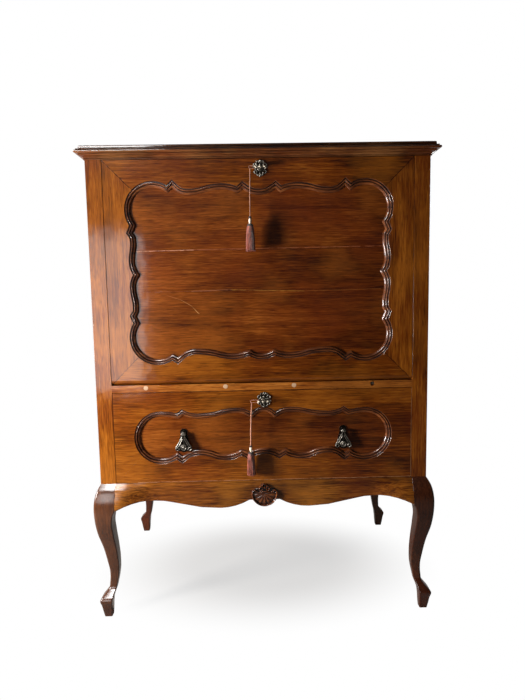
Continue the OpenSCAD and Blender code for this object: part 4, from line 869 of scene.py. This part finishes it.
class SECRETARY_OT_silk(bpy.types.Operator):
    """Two silk cords with their links, and their tassels"""
    bl_idname = "secretary.silk"
    bl_label = "Cords and tassels"

    def execute(self, context):
        silk = context.scene.secretary_silk
        rose = spun_silk("rose_silk", silk.rose, "#38140e", 1.7)
        dark = spun_silk("brown_silk", "#3c2218", "#140a07", 0.5)
        bone = turned_bone("turned_bone")
        rng = np.random.default_rng(7)
        for which, key_z, reach, route, radius, hue, link_body in (
                ("fall", FALL_KEY_Z, 8, FALL_ROUTE, 1.3, silk.tan, "fall_cord_loop"),
                ("drawer", DRAWER_KEY_Z, 16, DRAWER_ROUTE, 1.7, silk.salmon, "drawer_tassel")):
            body = which + "_tassel"
            low, high = corners(body)
            x, y = (low[0] + high[0]) / 2, (low[1] + high[1]) / 2
            top, tall, wide = high[2], high[2] - low[2], (high[0] - low[0]) / 2
            yarn = spun_silk(which + "_cord_silk", hue, "#6a3c2a", 0.6)
            strands = skirt(x, y, top - HEAD * tall, (1 - HEAD) * tall, wide, silk.strands, rng)
            # collar and knot: share of half the width, share of the height from the top, thread in mm
            rows = [[0.46, 0.225, 1.0], [0.54, 0.245, 1.2], [0.58, 0.268, 1.2], [0.56, 0.29, 1.1],
                    [0.20, 0.012, 0.9], [0.26, 0.032, 1.1], [0.20, 0.052, 0.9]]
            collar = bindings(x, y, [[wide * r, top - tall * z, thread] for r, z, thread in rows])
            profile = lathe(x, y, wide * np.array([0.16, 0.24, 0.30, 0.33, 0.31, 0.27, 0.25, 0.3]),
                            top - tall * np.array([0.050, 0.06, 0.09, 0.125, 0.16, 0.19, 0.215, 0.235]))
            hanging, bound, bead = [
                shape(f"{which}_{part}", made, look, body, (body,), 60.0) for part, made, look in (
                    ("skirt", strands, rose), ("bindings", collar, dark), ("bead", profile, bone))]
            path = np.array([RIM_X - reach, BOW_Y, key_z - CORD_DROP]) + np.array(route) * [-1, 1, -1]
            cord = shape(f"{which}_silk_cord", plied(path, radius, radius * 5), yarn, body,
                         (which + "_cord",), 60.0)
            # link: a stadium of plied cord through the key's bow
            a = np.radians(np.arange(0, 181, 15))
            right_end = LINK_R * np.stack([np.sin(a), np.cos(a)], 1)
            flat = np.vstack([right_end, -right_end - [reach, 0]])
            ring = np.stack([RIM_X + flat[:, 0], np.full(len(flat), BOW_Y), key_z + flat[:, 1]], 1)
            shape(f"{which}_link", plied(ring, LINK_CORD_R, LINK_PITCH, True), yarn, link_body,
                  (which + "_cord_loop",), 60.0)
        return {"FINISHED"}


class SECRETARY_OT_case(bpy.types.Operator):
    """Stiles, rails, floor and stop of the case"""
    bl_idname = "secretary.case"
    bl_label = "Case frame"

    def execute(self, context):
        left = polished_walnut("walnut_stile_left", "Z", 1.3)
        right = polished_walnut("walnut_stile_right", "Z", 7.9)
        stop = polished_walnut("walnut_stop", "X", 2.2)
        rail = polished_walnut("walnut_rail", "X", 4.1, ("#4a2009", "#884814", "#b87430"))
        floor = polished_walnut("walnut_floor", "X", 8.8)
        plug = waxed_pine("pale_plug", "X", 1.0, ("#94704c", "#b08a66", "#c8a684"))
        for name, node, wood, slot, width in (
                ("stile_left", "front_left_stile", left, "polished_wood", 0.0018),
                ("stile_right", "front_right_stile", right, "polished_wood", None),
                ("stiles_rear", "rear_stiles", left, "polished_wood", None),
                ("rail_middle", "mid_rail", rail, "figured_wood", 0.0012),
                ("rail_plugs_pale", "rail_plugs", plug, "plug_wood", 0.0005),
                ("stop_rail", "fall_stop_rail", stop, "polished_wood", None),
                ("writing_floor", "desk_floor", floor, "figured_wood", None)):
            eased(name, node, wood, "case", slot, width)
        paint(["rail_screws"], filed_metal("screw_steel", "#8f8678", "#4d443a"))
        return {"FINISHED"}


class SECRETARY_OT_sides(bpy.types.Operator):
    """Framed side panels, back boards and rails, and the dust board"""
    bl_idname = "secretary.sides"
    bl_label = "Sides and back"

    def execute(self, context):
        rails = polished_walnut("walnut_side_rail", "Y", 5.5)
        fields = polished_walnut("walnut_side_field", "Z", 3.7)
        for side in ("left", "right"):
            eased(f"rails_{side}", f"{side}_side_rails", rails)
            eased(f"field_{side}", f"{side}_side_panel", fields, "case", "figured_wood", 0.0004)
        pine = waxed_pine("pine_rail", "X", 3.0)
        for name, node, wood, width in (
                ("boards_back", "back_boards", waxed_pine("pine_back", "Z", 2.0), 0.0008),
                ("rails_back", "rear_rails", pine, 0.0012),
                ("board_dust", "dust_board", pine, 0.0005),
                ("runners", "drawer_runners", waxed_pine("pine_runner", "Y", 4.0), 0.0006)):
            eased(name, node, wood, "case", "inside_wood", width)
        return {"FINISHED"}


class SECRETARY_OT_top(bpy.types.Operator):
    """Top board and cornice with mitred corners"""
    bl_idname = "secretary.top"
    bl_label = "Top and cornice"

    def execute(self, context):
        wood = polished_walnut("walnut_top", "X", 9.2, ("#20120a", "#5a3318", "#8e5e34"))
        eased("board_top", "top_board", wood, "case", "figured_wood", 0.0008)
        low, high = corners("cornice_front")
        tall, out = high[2] - CASE_Z, FRONT - low[1]
        # a rebate at the back, a fillet, a cyma, a quirk and a rounded nose with a fillet over it, as rows
        # of how far out and how high; the rebate leaves room for the fall's bolt
        deep, rebate, room = -30, -13, 9
        t = np.linspace(0, 1, 22)
        cyma = np.stack([2 + (out * 0.62 - 2) * (t - np.sin(2 * np.pi * t) / 9), 4 + (tall * 0.5 - 4) * t], 1)
        a = np.radians(np.linspace(-90, 60, 16))
        nose = np.stack([out - 4 + 4 * np.cos(a), tall - 8 + 4 * np.sin(a)], 1)
        section = np.vstack([[[rebate, room], [rebate, 0], [2.8, 0], [2.8, 2.6], [1, 3.2]], cyma,
                             [[out * 0.62 - 2.4, tall * 0.5], [out * 0.62 - 2.4, tall - 12.2]], nose,
                             [[out - 4.5, tall - 4], [out - 4.5, tall - 0.8], [13, tall], [deep, tall],
                              [deep, room]]])
        o, z = section[:, 0], section[:, 1] + CASE_Z
        back = np.full(len(o), BACK)
        rings = np.stack([np.stack(ring, 1) for ring in (
            (-HALF_W - o, back, z), (-HALF_W - o, FRONT - o, z), (HALF_W + o, FRONT - o, z),
            (HALF_W + o, back, z))])
        shape("cornice", capped(rings), wood, "case", ("cornice_front", "cornice_returns"),
              35.0)
        return {"FINISHED"}


class SECRETARY_OT_legs(bpy.types.Operator):
    """Four cabriole legs"""
    bl_idname = "secretary.legs"
    bl_label = "Legs"

    def execute(self, context):
        wood = polished_walnut("walnut_leg", "Z", 11.0, ("#130803", "#341809", "#582f14"), 2.0, gloss=0.2)
        leg("leg_front_left", False, False, "front_left_leg", wood)
        leg("leg_front_right", True, False, "front_right_leg", wood)
        leg("leg_rear_left", False, True, "rear_legs", wood)
        leg("leg_rear_right", True, True, "rear_legs", wood)
        return {"FINISHED"}


class SECRETARY_OT_apron(bpy.types.Operator):
    """Shaped front apron with its carved shell"""
    bl_idname = "secretary.apron"
    bl_label = "Apron and shell"

    def execute(self, context):
        wood = polished_walnut("walnut_apron", "X", 6.4, ("#2a1105", "#7a440f", "#b06c22"), 1.2, gloss=0.2)
        outline = np.array([v.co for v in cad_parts["front_apron"].data.vertices]) / MM
        apron("apron", "front_apron", outline, 0, FRONT, wood)
        wood = polished_walnut("walnut_side_apron", "Y", 6.6)
        outline = np.array([v.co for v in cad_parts["side_aprons"].data.vertices]) / MM
        for side, name in ((-1, "left"), (1, "right")):
            points = outline[outline[:, 0] * side > 0]
            apron("apron_" + name, "side_aprons", points, 1, side * np.abs(points[:, 0]).max(), wood)
        hinge = corners("apron_shell")[0][2] + SHELL_R
        inward, around = 46, 240
        t = np.linspace(0.02, 1, inward)[:, None]
        a = (np.arange(around) * 2 * np.pi / around - np.pi)[None]
        degrees = np.abs(np.degrees(a))
        reach = np.interp(degrees, [0, 95, 108, 120, 132, 146, 162, 180], [38, 38, 36, 28, 23, 25, 29, 30])
        x, z = reach * t * np.sin(a), -reach * t * np.cos(a)
        height, wax_and_shade = shell_relief(x, z)
        height *= np.sqrt(np.clip((1 - t) * 14, 0, 1))
        face = np.stack([x, FRONT - 0.1 - height, z + hinge], -1)
        back = face[-1:] * [1, 0, 1] + [0, FRONT + 0.5, 0]
        made = capped(np.concatenate([face, back]))
        wax_and_shade = np.concatenate([wax_and_shade, wax_and_shade[-1:]])
        wood = carved_walnut("carved_shell", 2.9, ("#2a1006", "#5a2c12", "#8a5026"))
        shape("shell", made, wood, "case", ("apron_shell",), 60.0, wax_and_shade)
        return {"FINISHED"}


class SECRETARY_OT_fall(bpy.types.Operator):
    """Fall front: mitred frame, boards, carved moulding and writing leather"""
    bl_idname = "secretary.fall"
    bl_label = "Fall front"

    def execute(self, context):
        low, high, run = FALL_LOW[2], FALL_HIGH[2], 96
        mitres = [(s * FALL_X, z, s * (FALL_X - run), z + way * run, 2.2, "#1a0903", 0.85)
                  for s in (-1, 1) for z, way in ((low, 1), (high, -1))]
        for side, axis, seed in (("left_stile", "Z", 12.1), ("right_stile", "Z", 15.3),
                                 ("top_rail", "X", 13.7), ("bottom_rail", "X", 17.2)):
            wood = polished_walnut("walnut_fall_" + side, axis, seed, marks=mitres)
            eased("frame_" + side, "fall_" + side, wood, "fall", "polished_wood", 0.0004)
        marks = ((-258, 916, -221, 903.5, 1.3, "#a8703e", 0.4), (-221, 903.5, -193, 887, 1.5, "#b47c46", 0.6),
                 (-193, 887, -170, 863, 1.6, "#c08a50", 0.75), (-350, 1035, -180, 1037, 1.8, "#c58a68", 1.0),
                 (-180, 1037.5, 350, 1040, 1.6, "#9a5a3a", 0.8), (-190, 926, -80, 928, 3.0, "#9a6240", 0.5),
                 (-80, 928, 120, 921, 2.0, "#a87430", 0.55), (120, 921, 330, 924, 1.6, "#8a5426", 0.5))
        boards = polished_walnut("walnut_fall_board", "X", 20.6, ("#2a1005", "#66300b", "#92501a"),
                                 marks=marks)
        eased("boards_fall", "fall_boards", boards, "fall", "figured_wood", 0.0005)
        line = closed_outline(FALL_LINE, low, high, (416, 301))
        carve("carving_fall", line, "fall_moulding", "fall", carved_walnut("carved_fall", 1.0))
        eased("leather", "writing_leather", tooled_calf("tooled_calf", *corners("writing_leather")), "fall",
              "leather", 0.0004)
        return {"FINISHED"}


class SECRETARY_OT_drawer(bpy.types.Operator):
    """Large drawer: framed front, panel, carved moulding and lining"""
    bl_idname = "secretary.drawer"
    bl_label = "Large drawer"

    def execute(self, context):
        # painted highlights: pale lines along the bottom arris and up the right end, where the edges catch
        # the light
        left, right, low, high = DRAWER_LOW[0] + 60, DRAWER_HIGH[0], DRAWER_LOW[2], DRAWER_HIGH[2]
        rubbed = ((left, low + 0.6, right, low + 0.6, 1.6, "#c08a60", 0.7),
                  (right - 0.8, low, right - 0.8, high, 1.6, "#a87850", 0.6))
        wood = polished_walnut("walnut_drawer_frame", "X", 22.4, marks=rubbed)
        eased("frame_drawer", "drawer_front_frame", wood, "drawer", "polished_wood")
        panel = polished_walnut("walnut_drawer_panel", "X", 24.8, ("#2a1005", "#66300b", "#92501a"))
        eased("panel_drawer", "drawer_panel", panel, "drawer", "figured_wood", 0.0004)
        line = closed_outline(DRAWER_LINE, low, high, (416, 128))
        carve("carving_drawer", line, "drawer_moulding", "drawer", carved_walnut("carved_drawer", 2.0))
        eased("lining", "drawer_box", waxed_pine("pine_lining", "Y", 5.0), "drawer", "inside_wood", 0.0007)
        return {"FINISHED"}


class SECRETARY_OT_inside(bpy.types.Operator):
    """Pigeonholes, their partitions and the two small drawers"""
    bl_idname = "secretary.inside"
    bl_label = "Inside"

    def execute(self, context):
        tones = ("#4a2810", "#87522a", "#b07c48")
        wood = polished_walnut("walnut_nest", "X", 30.0, tones, 0.6)
        eased("nest", "pigeonhole_case", wood, "case", "inside_wood", 0.0007)
        upright = polished_walnut("walnut_partition", "Z", 31.0, tones, 0.6)
        eased("partitions", "pigeonhole_dividers", upright, "case", "inside_wood", 0.0006)
        for side in ("left", "right"):
            body = f"inner_{side}_drawer"
            eased(f"small_drawer_{side}", body, wood, body, "inside_wood", 0.0007)
        return {"FINISHED"}


class SECRETARY_OT_metalwork(bpy.types.Operator):
    """Escutcheons, keys, locks, stays and pivots"""
    bl_idname = "secretary.metalwork"
    bl_label = "Locks and escutcheons"

    def execute(self, context):
        bronze = cast_bronze("cast_bronze")
        rubbed = cast_bronze("rubbed_bronze", "#2c2822", "#9a9286")
        steel = filed_metal("key_steel", "#b4aa98", "#655c50")
        for which, key_z in (("fall", FALL_KEY_Z), ("drawer", DRAWER_KEY_Z)):
            node = which + "_escutcheon"
            eased(f"{which}_plate", node, bronze, which, "dark_bronze", 0.0007, 3)
            offset = np.array([LOCK_X, 0, key_z])
            work = joined(raised(ESCUTCHEON, FRONT - ESCUTCHEON_FACE),
                          domes(ESCUTCHEON_BOSSES, FRONT - BOSS_FACE))
            shape(f"{which}_scrolls", (work[0] + offset, work[1]), rubbed, which, (node,),
                  60.0)
            eased(f"{which}_bow", which + "_key", steel, which + "_key", "brass", 0.0007, 3)
        brass = filed_metal("aged_brass", "#b89858", "#6a5430")
        paint(["fall_hardware", "fall_lock", "drawer_lock", "fall_bolt", "drawer_bolt", "stay_keepers",
               "pivot_sockets"], brass)
        return {"FINISHED"}


class SECRETARY_OT_pulls(bpy.types.Operator):
    """Bronze drop pulls and their back plates"""
    bl_idname = "secretary.pulls"
    bl_label = "Pulls"

    def execute(self, context):
        bronze = cast_bronze("cast_bronze_pull")
        rubbed = cast_bronze("rubbed_bronze_pull", "#2c2822", "#9a9286")
        eased("pull_backs", "pull_plates", bronze, "drawer", "dark_bronze", 0.0006, 3)
        pin_z = corners("left_pull")[1][2] - PULL_PIN
        for name in ("left", "right"):
            body = name + "_pull"
            low, high = corners(body)
            x0, face = (low[0] + high[0]) / 2, FRONT - PULL_FACE
            eased(f"{name}_drop", body, bronze, body, "dark_bronze", 0.0012, 3)
            offset = np.array([x0, 0, pin_z])
            work = joined(raised(PULL, face), domes(PULL_BOSSES, face + PULL_SINK))
            pairs = [bars(PULL_BARS, side, x0, face, pin_z) for side in (-1, 1)]
            work = joined((work[0] + offset, work[1]), *pairs)
            shape(f"{name}_bail", work, rubbed, body, (body,), 60.0)
        return {"FINISHED"}


class SECRETARY_PT_sidebar(bpy.types.Panel):
    """Sizes, colours and steps of the desk"""
    bl_label = "Secretary desk"
    bl_idname = "SECRETARY_PT_sidebar"
    bl_space_type = "VIEW_3D"
    bl_region_type = "UI"
    bl_category = "Secretary"

    def draw(self, context):
        for name, group in GROUPS.items():
            box = self.layout.box()
            for key in group.__annotations__:
                box.prop(getattr(context.scene, name), key)
        for step in STEPS:
            self.layout.operator(step.bl_idname)


GROUPS = {"secretary_woodwork": SECRETARY_PG_woodwork, "secretary_silk": SECRETARY_PG_silk,
          "secretary_light": SECRETARY_PG_light}
STEPS = (SECRETARY_OT_stage, SECRETARY_OT_silk, SECRETARY_OT_case, SECRETARY_OT_sides, SECRETARY_OT_top,
         SECRETARY_OT_legs, SECRETARY_OT_apron, SECRETARY_OT_fall, SECRETARY_OT_drawer,
         SECRETARY_OT_inside, SECRETARY_OT_metalwork, SECRETARY_OT_pulls)


def register():
    for cls in (*GROUPS.values(), *STEPS, SECRETARY_PT_sidebar):
        bpy.utils.register_class(cls)
    for name, group in GROUPS.items():
        setattr(bpy.types.Scene, name, bpy.props.PointerProperty(type=group))


def unregister():
    for name in GROUPS:
        delattr(bpy.types.Scene, name)
    for cls in (SECRETARY_PT_sidebar, *reversed(STEPS), *GROUPS.values()):
        bpy.utils.unregister_class(cls)


def main():
    register()
    for step in STEPS:
        family, name = step.bl_idname.split(".")
        getattr(getattr(bpy.ops, family), name)()


if __name__ == "__main__":
    main()
